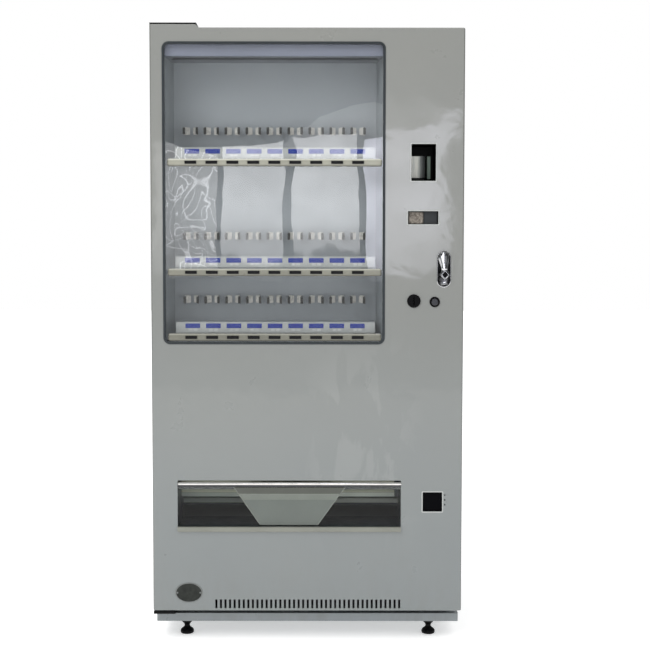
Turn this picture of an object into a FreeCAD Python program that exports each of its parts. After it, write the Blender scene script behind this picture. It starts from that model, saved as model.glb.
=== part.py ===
# Free-standing vending machine with a display door.
#
# Frame: millimetres, +Z up, the front of the machine faces -Y, X runs along the
# front.  The origin is on the floor under the middle of the machine.
# Distances written "d_..." are measured back from the front plane of the door.
# The door hangs on two pins at its left edge and carries the display window, the
# selection rails with their buttons, the money parts, the lock handle and the
# pick-up bin.  The cabinet holds the product rack, the chute and the cooling unit.

import FreeCAD, Part
import Sketcher
import math
import os

os.makedirs("parts", exist_ok=True)
V = FreeCAD.Vector
doc = FreeCAD.newDocument("VendingMachine")
sheet = doc.addObject("Spreadsheet::Sheet", "Sizes")

# ---------------------------------------------------------------------------
# driving dimensions: one row per size (name, value in mm)
# ---------------------------------------------------------------------------
ROWS = [
    # whole machine
    ("front_y", -362.0), ("machine_back", 380.0), ("front_most", -380.0),
    # door shell
    ("door_half", 463.0), ("door_low", 96.0), ("door_top", 1830.0),
    ("door_deep", 150.0), ("skin", 3.0), ("door_round", 5.0),
    ("lug_right", -319.0), ("lug_top", 1840.0), ("lug_deep", 60.0),
    ("back_cover", 1.2), ("seal_thick", 11.5), ("seal_wide", 14.0),
    ("seal_half", 440.0), ("seal_low", 118.0), ("seal_top", 1806.0),
    # hinge
    ("hinge_x", -440.0), ("d_hinge", 28.0), ("pin_r", 6.0), ("pin_fit", 0.05),
    ("hinge_plate", 2.5), ("hinge_gap", 1.0),
    # display window
    ("win_left", -427.0), ("win_right", 230.0), ("win_low", 899.5), ("win_top", 1788.5),
    ("win_round", 20.0), ("lip", 2.0), ("rubber", 7.0), ("lip_thick", 1.5),
    ("d_pane", 8.0), ("pane_thick", 4.0), ("pane_edge", 5.0),
    # display box
    ("box_left", -424.0), ("box_right", 227.0), ("box_low", 903.0), ("box_top", 1749.0),
    ("box_left_back", -410.0), ("box_right_back", 209.0), ("box_low_back", 913.0),
    ("d_box_back", 145.0), ("box_wall", 3.0),
    ("ledge_left", -394.5), ("ledge_right", 202.6), ("ledge_tall", 33.0), ("d_ledge", 40.0),
    ("ledge_low_1", 1451.0), ("ledge_low_2", 1127.0), ("ledge_low_3", 930.8),
    ("card_wide", 44.0), ("card_tall", 13.8), ("card_thick", 0.6), ("card_rise", 21.4),
    ("lamp_low", 1749.0), ("lamp_top", 1786.0), ("d_lamp", 14.0), ("d_lamp_back", 146.0),
    ("lamp_wall", 2.0), ("tube_r", 13.0),
    # selection rails and buttons
    ("rail_left", -413.0), ("rail_right", 220.0), ("rail_tall", 22.0), ("rail_proud", 4.0),
    ("rail_z_1", 1436.6), ("rail_z_2", 1113.0), ("rail_z_3", 920.3), ("rail_round", 5.0),
    ("btn_first", -344.0), ("btn_pitch", 61.7), ("btn_wide", 34.4), ("btn_tall", 8.4),
    ("btn_gap", 0.35), ("btn_proud", 2.5), ("btn_len", 7.5), ("stem_wide", 10.0),
    ("stem_tall", 5.0), ("stem_len", 2.0),
    # sample clips
    ("clip_first", -355.0), ("clip_pitch", 63.4), ("clip_r", 23.5), ("clip_thick", 1.5),
    ("clip_tall", 18.0), ("d_clip", 115.0),
    ("clip_z_1", 1540.5), ("clip_z_2", 1222.5), ("clip_z_3", 1028.5),
    # money parts
    ("bill_left", 306.5), ("bill_right", 379.5), ("bill_low", 1382.5), ("bill_top", 1491.5),
    ("bill_wall", 2.5), ("bill_deep", 107.0),
    ("disp_left", 297.0), ("disp_right", 387.5), ("disp_low", 1255.0), ("disp_top", 1294.5),
    ("disp_deep", 23.0), ("disp_recess", 9.0), ("disp_edge", 5.0),
    ("coin_x", 315.7), ("coin_z", 1028.5), ("coin_r", 20.0), ("coin_neck", 16.5),
    ("coin_proud", 5.0), ("slot_wide", 3.4), ("slot_tall", 27.0),
    ("push_x", 377.7), ("push_z", 1025.8), ("push_r", 10.0), ("push_ring", 15.5),
    ("push_neck", 11.7), ("push_gap", 0.5),
    ("ret_left", 345.0), ("ret_right", 404.0), ("ret_low", 397.5), ("ret_top", 456.5),
    ("ret_wall", 3.0), ("ret_deep", 60.0), ("ret_pin_r", 1.5), ("ret_flap", 2.0),
    ("dot_x", 411.1), ("dot_z", 433.3), ("dot_pitch", 14.6), ("dot_r", 2.3),
    # handle
    ("dish_x", 404.5), ("dish_half", 21.0), ("dish_low", 1068.5), ("dish_top", 1178.5),
    ("dish_deep", 12.0), ("dish_rim", 2.0),
    ("hub_x", 406.5), ("hub_z", 1106.7), ("lever_back", 4.0), ("lever_thick", 11.0),
    ("lever_top_x", 402.6), ("lever_top_z", 1158.5), ("lever_top_r", 16.8),
    ("plug_r", 6.5), ("plug_gap", 0.35), ("shaft_r", 7.0), ("pop_d", 4.0),
    # pick-up bin
    ("bin_left", -388.0), ("bin_right", 280.0), ("bin_low", 352.0), ("bin_top", 491.5),
    ("bin_wall", 3.0), ("sill_low", 337.0), ("sill_proud", 8.0),
    ("baffle_low", 423.0), ("d_baffle", 100.0),
    ("flap_z", 476.7), ("flap_d", 7.0), ("flap_rod", 6.3), ("flap_thick", 4.0), ("flap_low", 354.5),
    # nameplate and vents
    ("plate_x", -355.3), ("plate_z", 151.5), ("plate_a", 41.5), ("plate_b", 30.0), ("plate_thick", 1.5),
    ("vent_first", -276.5), ("vent_wide", 6.5), ("vent_low", 103.7), ("vent_tall", 26.9),
    ("vent_pitch", 13.74), ("vent_count", 41),
    # cabinet
    ("cab_half", 461.0), ("d_cab", 162.0), ("cab_back", 372.0), ("cab_low", 74.0),
    ("cab_top", 1834.0), ("wall", 30.0), ("deck_low", 300.0), ("deck_top", 340.0), ("bay_low", 92.0),
    # base and feet
    ("base_half", 459.0), ("d_base", 50.0), ("base_back", 356.0), ("base_low", 49.5), ("base_wall", 4.0),
    ("foot_x", 372.0), ("d_foot", 95.0), ("foot_back", 300.0), ("foot_r", 21.0), ("foot_neck", 8.0),
    ("foot_collar", 17.0),
    # inside the cabinet
    ("rack_low", 640.0), ("rack_high", 1762.0), ("rack_half", 400.0), ("rack_front", -170.0),
    ("rack_back", 320.0), ("rack_sheet", 1.2), ("lanes", 9),
    ("chute_half", 405.0), ("chute_lip", 404.0), ("chute_sheet", 3.0),
    ("fan_x", 150.0), ("fan_z", 188.0), ("fan_r", 86.0), ("fan_hole", 93.0), ("fan_y", -100.0),
]
for n, (name, value) in enumerate(ROWS, start=1):
    sheet.set("A%d" % n, name)
    sheet.set("B%d" % n, repr(value))
    sheet.setAlias("B%d" % n, name)
doc.recompute()


class Size:
    """A length with its value and the sheet expression that drives it."""

    def __init__(self, v, e):
        self.v = float(v)
        self.e = e

    def __add__(self, o):
        o = size(o)
        return Size(self.v + o.v, "(%s + %s)" % (self.e, o.e))

    __radd__ = __add__

    def __sub__(self, o):
        o = size(o)
        return Size(self.v - o.v, "(%s - %s)" % (self.e, o.e))

    def __rsub__(self, o):
        return size(o) - self

    def __mul__(self, o):
        o = size(o)
        return Size(self.v * o.v, "(%s * %s)" % (self.e, o.e))

    __rmul__ = __mul__

    def __truediv__(self, o):
        o = size(o)
        return Size(self.v / o.v, "(%s / %s)" % (self.e, o.e))

    def __neg__(self):
        return Size(-self.v, "(0 - %s)" % self.e)


def size(o):
    return o if isinstance(o, Size) else Size(o, repr(float(o)))


TABLE = {name: Size(value, "Sizes." + name) for name, value in ROWS}


def g(name):
    return TABLE[name]


def back(d):
    """Y of a plane a distance d behind the front of the door."""
    return g("front_y") + d


# ---------------------------------------------------------------------------
# sketch and feature helpers
# ---------------------------------------------------------------------------
def body(name):
    b = doc.addObject("PartDesign::Body", name)
    b.Label = name
    return b


def sketch(b, name, role, off=0.0):
    """A sketch on an origin plane, moved along the world axis by off."""
    sk = b.newObject("Sketcher::SketchObject", name)
    plane = [f for f in b.Origin.OriginFeatures if f.Role == role][0]
    sk.AttachmentSupport = [(plane, "")]
    sk.MapMode = "FlatFace"
    off = size(off)
    shift = -off if role == "XZ_Plane" else off
    sk.AttachmentOffset = FreeCAD.Placement(V(0, 0, shift.v), FreeCAD.Rotation())
    sk.setExpression(".AttachmentOffset.Base.z", shift.e)
    return sk


def pin_point(sk, geo, pos, x, y):
    x, y = size(x), size(y)
    for kind, q in (("DistanceX", x), ("DistanceY", y)):
        c = sk.addConstraint(Sketcher.Constraint(kind, -1, 1, geo, pos, q.v))
        sk.setExpression("Constraints[%d]" % c, q.e)


def loop(sk, points):
    """Closed polygon through (x, y) sizes."""
    pts = [V(size(x).v, size(y).v, 0) for x, y in points]
    n = len(pts)
    ids = [sk.addGeometry(Part.LineSegment(pts[i], pts[(i + 1) % n]), False) for i in range(n)]
    for i in range(n):
        sk.addConstraint(Sketcher.Constraint("Coincident", ids[i], 2, ids[(i + 1) % n], 1))
    for i in range(n):
        pin_point(sk, ids[i], 1, points[i][0], points[i][1])
    return ids


def rect(sk, x0, x1, y0, y1):
    return loop(sk, [(x0, y0), (x1, y0), (x1, y1), (x0, y1)])


def rrect(sk, x0, x1, y0, y1, r):
    """Rectangle with rounded corners."""
    x0, x1, y0, y1, r = size(x0), size(x1), size(y0), size(y1), size(r)
    segs = [((x0 + r, y0), (x1 - r, y0)), ((x1, y0 + r), (x1, y1 - r)),
            ((x1 - r, y1), (x0 + r, y1)), ((x0, y1 - r), (x0, y0 + r))]
    mids = [(x1 - r, y0 + r, -90, 0), (x1 - r, y1 - r, 0, 90),
            (x0 + r, y1 - r, 90, 180), (x0 + r, y0 + r, 180, 270)]
    lines = []
    for p, q in segs:
        i = sk.addGeometry(Part.LineSegment(V(p[0].v, p[1].v, 0), V(q[0].v, q[1].v, 0)), False)
        pin_point(sk, i, 1, p[0], p[1])
        pin_point(sk, i, 2, q[0], q[1])
        lines.append(i)
    for k, (cx, cy, a, b) in enumerate(mids):
        c = Part.Circle(V(cx.v, cy.v, 0), V(0, 0, 1), r.v)
        i = sk.addGeometry(Part.ArcOfCircle(c, math.radians(a), math.radians(b)), False)
        sk.addConstraint(Sketcher.Constraint("Coincident", i, 1, lines[k], 2))
        sk.addConstraint(Sketcher.Constraint("Coincident", i, 2, lines[(k + 1) % 4], 1))
        n = sk.addConstraint(Sketcher.Constraint("Radius", i, r.v))
        sk.setExpression("Constraints[%d]" % n, r.e)


def ring(sk, x, y, r):
    x, y, r = size(x), size(y), size(r)
    i = sk.addGeometry(Part.Circle(V(x.v, y.v, 0), V(0, 0, 1), r.v), False)
    n = sk.addConstraint(Sketcher.Constraint("Radius", i, r.v))
    sk.setExpression("Constraints[%d]" % n, r.e)
    pin_point(sk, i, 3, x, y)


def pad(b, sk, length, name, flip=True):
    """Pad of a front-view sketch; flip=True runs towards +Y."""
    f = b.newObject("PartDesign::Pad", name)
    f.Profile = sk
    f.Reversed = flip
    length = size(length)
    f.Length = length.v
    f.setExpression("Length", length.e)
    return f


def cut(b, sk, length, name, flip=False):
    """Pocket of a front-view sketch; flip=False runs towards +Y."""
    f = b.newObject("PartDesign::Pocket", name)
    f.Profile = sk
    f.Reversed = flip
    length = size(length)
    f.Length = length.v
    f.setExpression("Length", length.e)
    doc.recompute()
    prev = f.BaseFeature
    if prev is not None and prev.Shape.Volume - f.Shape.Volume < 1e-3:
        raise SystemExit("pocket %s removes nothing" % name)
    return f


def edge_dir(e, axis):
    if len(e.Vertexes) != 2 or e.Curve.TypeId != "Part::GeomLine":
        return False
    d = (e.Vertexes[1].Point - e.Vertexes[0].Point).normalize()
    return abs(d.dot(axis)) > 0.999


def soften(b, base, radius, pick, name, kind="PartDesign::Fillet"):
    doc.recompute()
    edges = ["Edge%d" % (i + 1) for i, e in enumerate(base.Shape.Edges) if pick(e)]
    if not edges:
        raise SystemExit("no edge for %s" % name)
    f = b.newObject(kind, name)
    f.Base = (base, edges)
    radius = size(radius)
    prop = "Radius" if kind.endswith("Fillet") else "Size"
    setattr(f, prop, radius.v)
    f.setExpression(prop, radius.e)
    return f


def near(a, c, tol=0.02):
    return abs(a - c) < tol


# ---------------------------------------------------------------------------
# primitive helpers
# ---------------------------------------------------------------------------
def place(o, x, y, z, rot=None):
    x, y, z = size(x), size(y), size(z)
    o.Placement = FreeCAD.Placement(V(x.v, y.v, z.v), rot or FreeCAD.Rotation())
    for a, q in (("x", x), ("y", y), ("z", z)):
        o.setExpression(".Placement.Base." + a, q.e)


def box(name, x0, x1, y0, y1, z0, z1):
    x0, x1, y0, y1, z0, z1 = [size(q) for q in (x0, x1, y0, y1, z0, z1)]
    o = doc.addObject("Part::Box", name)
    o.Label = name
    for prop, q in (("Length", x1 - x0), ("Width", y1 - y0), ("Height", z1 - z0)):
        setattr(o, prop, q.v)
        o.setExpression(prop, q.e)
    place(o, x0, y0, z0)
    return o


TURN = {"z": FreeCAD.Rotation(), "y": FreeCAD.Rotation(V(1, 0, 0), -90),
        "x": FreeCAD.Rotation(V(0, 1, 0), 90)}


def rod(name, axis, x, y, z, r, length):
    """Cylinder from (x, y, z) towards +axis."""
    o = doc.addObject("Part::Cylinder", name)
    o.Label = name
    r, length = size(r), size(length)
    o.Radius = r.v
    o.Height = length.v
    o.setExpression("Radius", r.e)
    o.setExpression("Height", length.e)
    place(o, x, y, z, TURN[axis])
    return o


def minus(name, a, b):
    o = doc.addObject("Part::Cut", name)
    o.Label = name
    o.Base = a
    o.Tool = b
    return o


def union(name, parts):
    o = doc.addObject("Part::MultiFuse", name)
    o.Label = name
    o.Shapes = parts
    o.Refine = True
    return o


def group(name, parts):
    o = doc.addObject("Part::Compound", name)
    o.Label = name
    o.Links = parts
    return o


NODES = []


def keep(o):
    NODES.append(o)
    return o


# ---------------------------------------------------------------------------
# door skin: a pressed tray with the front openings
# ---------------------------------------------------------------------------
F = g("front_y")
b = keep(body("door_skin"))
t = g("skin")
sk = sketch(b, "skin_front_outline", "XZ_Plane", F)
loop(sk, [(-g("door_half"), g("door_low")), (g("door_half"), g("door_low")), (g("door_half"), g("door_top")),
          (g("lug_right"), g("door_top")), (g("lug_right") - 10, g("lug_top")), (-g("door_half"), g("lug_top"))])
pad(b, sk, g("lug_deep"), "skin_front_pad")
sk = sketch(b, "skin_outline", "XZ_Plane", back(g("lug_deep")))
rect(sk, -g("door_half"), g("door_half"), g("door_low"), g("door_top"))
tray = pad(b, sk, g("door_deep") - g("lug_deep"), "skin_pad")
half, low, top, fy = g("door_half").v, g("door_low").v, g("door_top").v, F.v


def outer_edge(e):
    m = e.CenterOfMass
    if edge_dir(e, V(0, 1, 0)):
        return near(m.z, low) or (near(m.x, half) and near(m.z, top))
    return near(m.y, fy)


rounded = soften(b, tray, g("door_round"), outer_edge, "skin_round")
sk = sketch(b, "skin_hollow", "XZ_Plane", back(g("door_deep")))
rect(sk, -(g("door_half") - t), g("door_half") - t, g("door_low") + t, g("door_top") - t)
cut(b, sk, g("door_deep") - t, "skin_hollow_cut", flip=True)
# front openings
sk = sketch(b, "window_hole", "XZ_Plane", F)
rrect(sk, g("win_left") + g("lip"), g("win_right") - g("lip"), g("win_low") + g("lip"), g("win_top") - g("lip"),
      g("win_round") - g("lip"))
cut(b, sk, t, "window_hole_cut")
sk = sketch(b, "front_holes", "XZ_Plane", F)
rrect(sk, g("bin_left"), g("bin_right"), g("bin_low"), g("bin_top"), 3)
rrect(sk, g("bill_left"), g("bill_right"), g("bill_low"), g("bill_top"), 2)
rrect(sk, g("disp_left"), g("disp_right"), g("disp_low"), g("disp_top"), 2)
rrect(sk, g("ret_left"), g("ret_right"), g("ret_low"), g("ret_top"), 2)
rrect(sk, g("dish_x") - g("dish_half") + 2, g("dish_x") + g("dish_half") - 2, g("dish_low") + 2, g("dish_top") - 2, 18.8)
ring(sk, g("coin_x"), g("coin_z"), g("coin_neck") + 0.5)
ring(sk, g("push_x"), g("push_z"), g("push_neck") + 0.5)
for k in (-1, 0, 1):
    ring(sk, g("dot_x"), g("dot_z") + g("dot_pitch") * k, g("dot_r"))
cut(b, sk, t, "front_holes_cut")
# pin holes in the top lug and the bottom flange
hy = back(g("d_hinge"))
sk = sketch(b, "pin_hole", "XY_Plane", g("door_low") - 1)
ring(sk, g("hinge_x"), hy, g("pin_r") + g("pin_fit"))
cut(b, sk, g("lug_top") - g("door_low") + 5, "pin_hole_cut", flip=True)
# vent slots low on the front
sk = sketch(b, "vent_slot", "XZ_Plane", F)
rect(sk, g("vent_first"), g("vent_first") + g("vent_wide"), g("vent_low"), g("vent_low") + g("vent_tall"))
slot = cut(b, sk, t, "vent_slot_cut")
pat = b.newObject("PartDesign::LinearPattern", "vent_row")
pat.Originals = [slot]
pat.Direction = (sk, ["H_Axis"])
span = g("vent_pitch") * (g("vent_count") - 1)
pat.Length = span.v
pat.setExpression("Length", span.e)
pat.Occurrences = int(g("vent_count").v)
pat.setExpression("Occurrences", g("vent_count").e)
b.Tip = pat
doc.recompute()

# back cover of the door, with the bin opening
b = keep(body("door_back_cover"))
sk = sketch(b, "cover_outline", "XZ_Plane", back(g("door_deep") - g("back_cover")))
rect(sk, -(g("door_half") - t), g("door_half") - t, g("door_low") + t, g("door_top") - t)
rrect(sk, g("bin_left"), g("bin_right"), g("bin_low"), g("bin_top"), 3)
pad(b, sk, g("back_cover"), "cover_pad")

# rubber seal between door and cabinet
b = keep(body("door_seal"))
sk = sketch(b, "seal_outline", "XZ_Plane", back(g("door_deep")))
rrect(sk, -g("seal_half"), g("seal_half"), g("seal_low"), g("seal_top"), 20)
w = g("seal_wide")
rrect(sk, -(g("seal_half") - w), g("seal_half") - w, g("seal_low") + w, g("seal_top") - w, 6)
pad(b, sk, g("seal_thick"), "seal_pad")

# window gasket: front lip, web in the skin's edge, rear lip against the pane
b = keep(body("window_gasket"))
il, ir = g("win_left") + g("rubber"), g("win_right") - g("rubber")
ib, it = g("win_low") + g("rubber"), g("win_top") - g("rubber")
irad = g("win_round") - g("rubber")
for nm, grow, d0, th in (("front_lip", size(0), -g("lip_thick"), g("lip_thick")),
                         ("web", -g("lip"), size(0), t),
                         ("rear_lip", g("pane_edge"), t, g("d_pane") - t)):
    sk = sketch(b, nm, "XZ_Plane", F + d0)
    rrect(sk, g("win_left") - grow, g("win_right") + grow, g("win_low") - grow, g("win_top") + grow, g("win_round") + grow)
    rrect(sk, il, ir, ib, it, irad)
    pad(b, sk, th, nm + "_pad")
doc.recompute()

b = keep(body("window_pane"))
sk = sketch(b, "pane_outline", "XZ_Plane", back(g("d_pane")))
e = g("pane_edge")
rrect(sk, g("win_left") - e, g("win_right") + e, g("win_low") - e, g("win_top") + e, g("win_round") + e)
pad(b, sk, g("pane_thick"), "pane_pad")

# ---------------------------------------------------------------------------
# display box behind the pane: tapered tray with three card ledges
# ---------------------------------------------------------------------------
def wedge(name, xa, xb, za, zb, xc, xd, zc, zd, ya, yb):
    """Frustum from rectangle (xa..xb, za..zb) at ya to (xc..xd, zc..zd) at yb."""
    o = doc.addObject("Part::Wedge", name)
    o.Label = name
    for prop, q in (("Xmin", xa), ("Xmax", xb), ("Zmin", za), ("Zmax", zb), ("X2min", xc), ("X2max", xd),
                    ("Z2min", zc), ("Z2max", zd), ("Ymin", ya), ("Ymax", yb)):
        q = size(q)
        o.setExpression(prop, q.e)
    return o


bw = g("box_wall")
y0 = back(g("d_pane") + g("pane_thick"))
y1 = back(g("door_deep") - g("back_cover"))
yb = back(g("d_box_back"))
outer = wedge("box_outer", g("box_left") - bw, g("box_right") + bw, g("box_low") - bw, g("box_top"),
              g("box_left_back") - bw, g("box_right_back") + bw, g("box_low_back") - bw, g("box_top"), y0, y1)
inner = wedge("box_inner", g("box_left"), g("box_right"), g("box_low"), g("box_top") + 5,
              g("box_left_back"), g("box_right_back"), g("box_low_back"), g("box_top") + 5, y0 - 0.01, yb)
shell = minus("box_shell", outer, inner)
ledges = []
for k in (1, 2, 3):
    z0 = g("ledge_low_%d" % k)
    ledges.append(box("ledge_%d" % k, g("ledge_left"), g("ledge_right"), back(g("d_ledge")), yb + 1, z0, z0 + g("ledge_tall")))
keep(union("display_liner", [shell] + ledges))

cards = []
for k in (1, 2, 3):
    zc = g("ledge_low_%d" % k) + g("card_rise")
    for i in range(9):
        xc = g("btn_first") + g("btn_pitch") * i
        cards.append(box("card_%d_%d" % (k, i + 1), xc - g("card_wide") / 2, xc + g("card_wide") / 2,
                         back(g("d_ledge") - g("card_thick")), back(g("d_ledge")),
                         zc - g("card_tall") / 2, zc + g("card_tall") / 2))
keep(group("price_cards", cards))

# lamp unit over the display: channel with a slot, tube and two sockets
lw = g("lamp_wall")
hous = box("lamp_channel", g("box_left"), g("box_right"), back(g("d_lamp")), back(g("d_lamp_back")), g("lamp_low"), g("lamp_top"))
hol = box("lamp_hollow", g("box_left") + lw, g("box_right") - lw, back(g("d_lamp")) + lw, back(g("d_lamp_back")) - lw,
          g("lamp_low") + lw, g("lamp_top") - lw)
slo = box("lamp_slot", g("box_left") + 15, g("box_right") - 15, back(48), back(92), g("lamp_low") - 1, g("lamp_low") + lw + 1)
chan = minus("lamp_case", hous, union("lamp_voids", [hol, slo]))
tube = rod("lamp_tube", "x", g("box_left") + 20, back(70), g("lamp_low") + 21, g("tube_r"), g("box_right") - g("box_left") - 40)
s1 = box("socket_left", g("box_left") + lw, g("box_left") + 20, back(58), back(82), g("lamp_low") + lw, g("lamp_low") + 34)
s2 = box("socket_right", g("box_right") - 20, g("box_right") - lw, back(58), back(82), g("lamp_low") + lw, g("lamp_low") + 34)
keep(group("lamp_unit", [chan, tube, s1, s2]))

# sample clips: pairs of curved spring fingers on the back panel
clips = []
quarter = FreeCAD.Rotation(V(0, 0, 1), 0)
for k in (1, 2, 3):
    for i in range(9):
        xc = g("clip_first") + g("clip_pitch") * i
        zc = g("clip_z_%d" % k) - g("clip_tall") / 2
        for side, start in (("l", 120), ("r", -35)):
            nm = "clip_%d_%d%s" % (k, i + 1, side)
            a = doc.addObject("Part::Cylinder", nm + "_out")
            c = doc.addObject("Part::Cylinder", nm + "_in")
            for o, r in ((a, g("clip_r")), (c, g("clip_r") - g("clip_thick"))):
                o.setExpression("Radius", r.e)
                o.setExpression("Height", g("clip_tall").e)
                o.Angle = 95
                place(o, xc, back(g("d_clip")), zc, FreeCAD.Rotation(V(0, 0, 1), start))
            clips.append(minus(nm, a, c))
            ang = math.radians(60 if side == "r" else 120)
            rx = (g("clip_r") - g("clip_thick") / 2) * math.cos(ang)
            sy = back(g("d_clip")) + (g("clip_r") - g("clip_thick") / 2) * math.sin(ang)
            clips.append(box(nm + "_foot", xc + rx - 2, xc + rx + 2, sy + 1.2, yb, zc + 4, zc + g("clip_tall") - 4))
keep(group("sample_clips", clips))

# ---------------------------------------------------------------------------
# selection rails with blind pockets, and the buttons that slide in them
# ---------------------------------------------------------------------------
rails = []
rp = g("rail_proud")
for k in (1, 2, 3):
    b = body("rail_%d" % k)
    zc = g("rail_z_%d" % k)
    sk = sketch(b, "rail_outline_%d" % k, "XZ_Plane", F - rp)
    rrect(sk, g("rail_left"), g("rail_right"), zc - g("rail_tall") / 2, zc + g("rail_tall") / 2, g("rail_round"))
    p = pad(b, sk, rp + g("d_pane"), "rail_pad_%d" % k)
    yf = (F - rp).v
    soften(b, p, 1.5, lambda ed: near(ed.CenterOfMass.y, yf), "rail_edge_%d" % k)
    sk = sketch(b, "rail_pocket_%d" % k, "XZ_Plane", F - rp)
    hw, ht = g("btn_wide") / 2 + g("btn_gap"), g("btn_tall") / 2 + g("btn_gap")
    xc = g("btn_first")
    rrect(sk, xc - hw, xc + hw, zc - ht, zc + ht, 2)
    pk = cut(b, sk, rp + g("d_pane") - 1.5, "rail_pocket_cut_%d" % k)
    pat = b.newObject("PartDesign::LinearPattern", "rail_row_%d" % k)
    pat.Originals = [pk]
    pat.Direction = (sk, ["H_Axis"])
    span = g("btn_pitch") * 8
    pat.Length = span.v
    pat.setExpression("Length", span.e)
    pat.Occurrences = 9
    b.Tip = pat
    rails.append(b)
doc.recompute()
keep(group("selection_rails", rails))

ROW = {1: "top", 2: "middle", 3: "bottom"}
for k in (1, 2, 3):
    for i in range(9):
        nm = "button_%s_%d" % (ROW[k], i + 1)
        b = keep(body(nm))
        # local frame: cap's front face centre at the origin, travel along +Y
        sk = sketch(b, nm + "_cap", "XZ_Plane", 0.0)
        w2, h2 = g("btn_wide") / 2, g("btn_tall") / 2
        rrect(sk, -w2, w2, -h2, h2, 1.7)
        p = pad(b, sk, g("btn_len"), nm + "_pad")
        soften(b, p, 0.8, lambda ed: near(ed.CenterOfMass.y, 0.0), nm + "_edge")
        sk = sketch(b, nm + "_stem", "XZ_Plane", g("btn_len"))
        rect(sk, -(g("stem_wide") / 2), g("stem_wide") / 2, -(g("stem_tall") / 2), g("stem_tall") / 2)
        pad(b, sk, g("stem_len"), nm + "_stem_pad")
        place(b, g("btn_first") + g("btn_pitch") * i, F - rp - g("btn_proud"), g("rail_z_%d" % k))

# ---------------------------------------------------------------------------
# money parts
# ---------------------------------------------------------------------------
bwl = g("bill_wall")
o1 = box("bill_case", g("bill_left") - bwl, g("bill_right") + bwl, back(t), back(t + g("bill_deep")), g("bill_low") - bwl, g("bill_top") + bwl)
o2 = box("bill_void", g("bill_left"), g("bill_right"), back(t) - 1, back(t + g("bill_deep")) - bwl, g("bill_low"), g("bill_top"))
case = minus("bill_tray", o1, o2)
guide = box("bill_guide", g("bill_left") + 1.5, g("bill_left") + 29, back(30), back(t + g("bill_deep")) - 1, g("bill_low") + 11, g("bill_low") + 75)
strip = box("bill_strip", g("bill_left") + 50, g("bill_left") + 60, back(45), back(t + g("bill_deep")) - 1, g("bill_low") + 9, g("bill_low") + 76)
foot = box("bill_foot", g("bill_left") - 1, g("bill_left") + 36, back(12), back(60), g("bill_low") - 1, g("bill_low") + 8)
keep(union("bill_acceptor", [case, guide, strip, foot]))

de = g("disp_edge")
o1 = box("disp_case", g("disp_left") - de, g("disp_right") + de, back(t), back(t + g("disp_deep")), g("disp_low") - de, g("disp_top") + de)
o2 = box("disp_void", g("disp_left"), g("disp_right"), back(t) - 1, back(t + g("disp_recess")), g("disp_low"), g("disp_top"))
keep(minus("credit_display", o1, o2))

# coin entry with its slot, and the bezel ring of the return button
b = body("coin_entry")
sk = sketch(b, "entry_face", "XZ_Plane", F - g("coin_proud"))
ring(sk, g("coin_x"), g("coin_z"), g("coin_r"))
p = pad(b, sk, g("coin_proud"), "entry_face_pad")
yc = (F - g("coin_proud")).v
soften(b, p, 3.0, lambda ed: near(ed.CenterOfMass.y, yc), "entry_round")
sk = sketch(b, "entry_neck", "XZ_Plane", F)
ring(sk, g("coin_x"), g("coin_z"), g("coin_neck"))
pad(b, sk, 30, "entry_neck_pad")
sk = sketch(b, "entry_slot", "XZ_Plane", F - g("coin_proud"))
rrect(sk, g("coin_x") - g("slot_wide") / 2, g("coin_x") + g("slot_wide") / 2, g("coin_z") - g("slot_tall") / 2,
      g("coin_z") + g("slot_tall") / 2, 1.5)
cut(b, sk, g("coin_proud") + 30, "entry_slot_cut")
c = body("push_bezel")
sk = sketch(c, "bezel_face", "XZ_Plane", F - 3)
ring(sk, g("push_x"), g("push_z"), g("push_ring"))
p = pad(c, sk, 3, "bezel_face_pad")
yc2 = (F - 3).v
soften(c, p, 1.5, lambda ed: near(ed.CenterOfMass.y, yc2), "bezel_round")
sk = sketch(c, "bezel_neck", "XZ_Plane", F)
ring(sk, g("push_x"), g("push_z"), g("push_neck"))
pad(c, sk, 30, "bezel_neck_pad")
sk = sketch(c, "bezel_bore", "XZ_Plane", F - 3)
ring(sk, g("push_x"), g("push_z"), g("push_r") + g("push_gap"))
cut(c, sk, 31, "bezel_bore_cut")
keep(group("coin_bezels", [b, c]))

m1 = box("mech_case", 288, 398, back(36), back(126), 700, 1000)
m2 = box("mech_funnel", g("coin_x") - 14, g("coin_x") + 14, back(30), back(70), 995, g("coin_z") + 16)
m3 = box("mech_payout", 360, 388, back(18), back(46), g("ret_top") + g("ret_wall"), 705)
keep(union("coin_mechanism", [m1, m2, m3]))

b = keep(body("return_button"))
sk = sketch(b, "push_face", "XZ_Plane", F - 5)
ring(sk, g("push_x"), g("push_z"), g("push_r"))
p = pad(b, sk, 25, "push_pad")
yc3 = (F - 5).v
soften(b, p, 1.2, lambda ed: near(ed.CenterOfMass.y, yc3), "push_round")

rw = g("ret_wall")
fz, fd = g("ret_top") - 3, size(7)
o1 = box("cup_case", g("ret_left") - rw, g("ret_right") + rw, back(t), back(t + g("ret_deep")), g("ret_low") - rw, g("ret_top") + rw)
o2 = box("cup_void", g("ret_left"), g("ret_right"), back(t) - 1, back(t + g("ret_deep")) - rw, g("ret_low"), g("ret_top"))
o3 = rod("cup_pivot", "x", g("ret_left") - 2.5, back(fd), fz, g("ret_pin_r") + g("pin_fit"), g("ret_right") - g("ret_left") + 5)
keep(minus("coin_return_cup", o1, union("cup_voids", [o2, o3])))
o1 = box("ret_panel", g("ret_left") + 1, g("ret_right") - 1, back(fd) - 1, back(fd) + 1, g("ret_low") + 1.5, fz)
o2 = rod("ret_barrel", "x", g("ret_left") + 1, back(fd), fz, 2.0, g("ret_right") - g("ret_left") - 2)
o3 = rod("ret_pins", "x", g("ret_left") - 2, back(fd), fz, g("ret_pin_r"), g("ret_right") - g("ret_left") + 4)
keep(union("coin_return_flap", [o1, o2, o3]))

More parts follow.
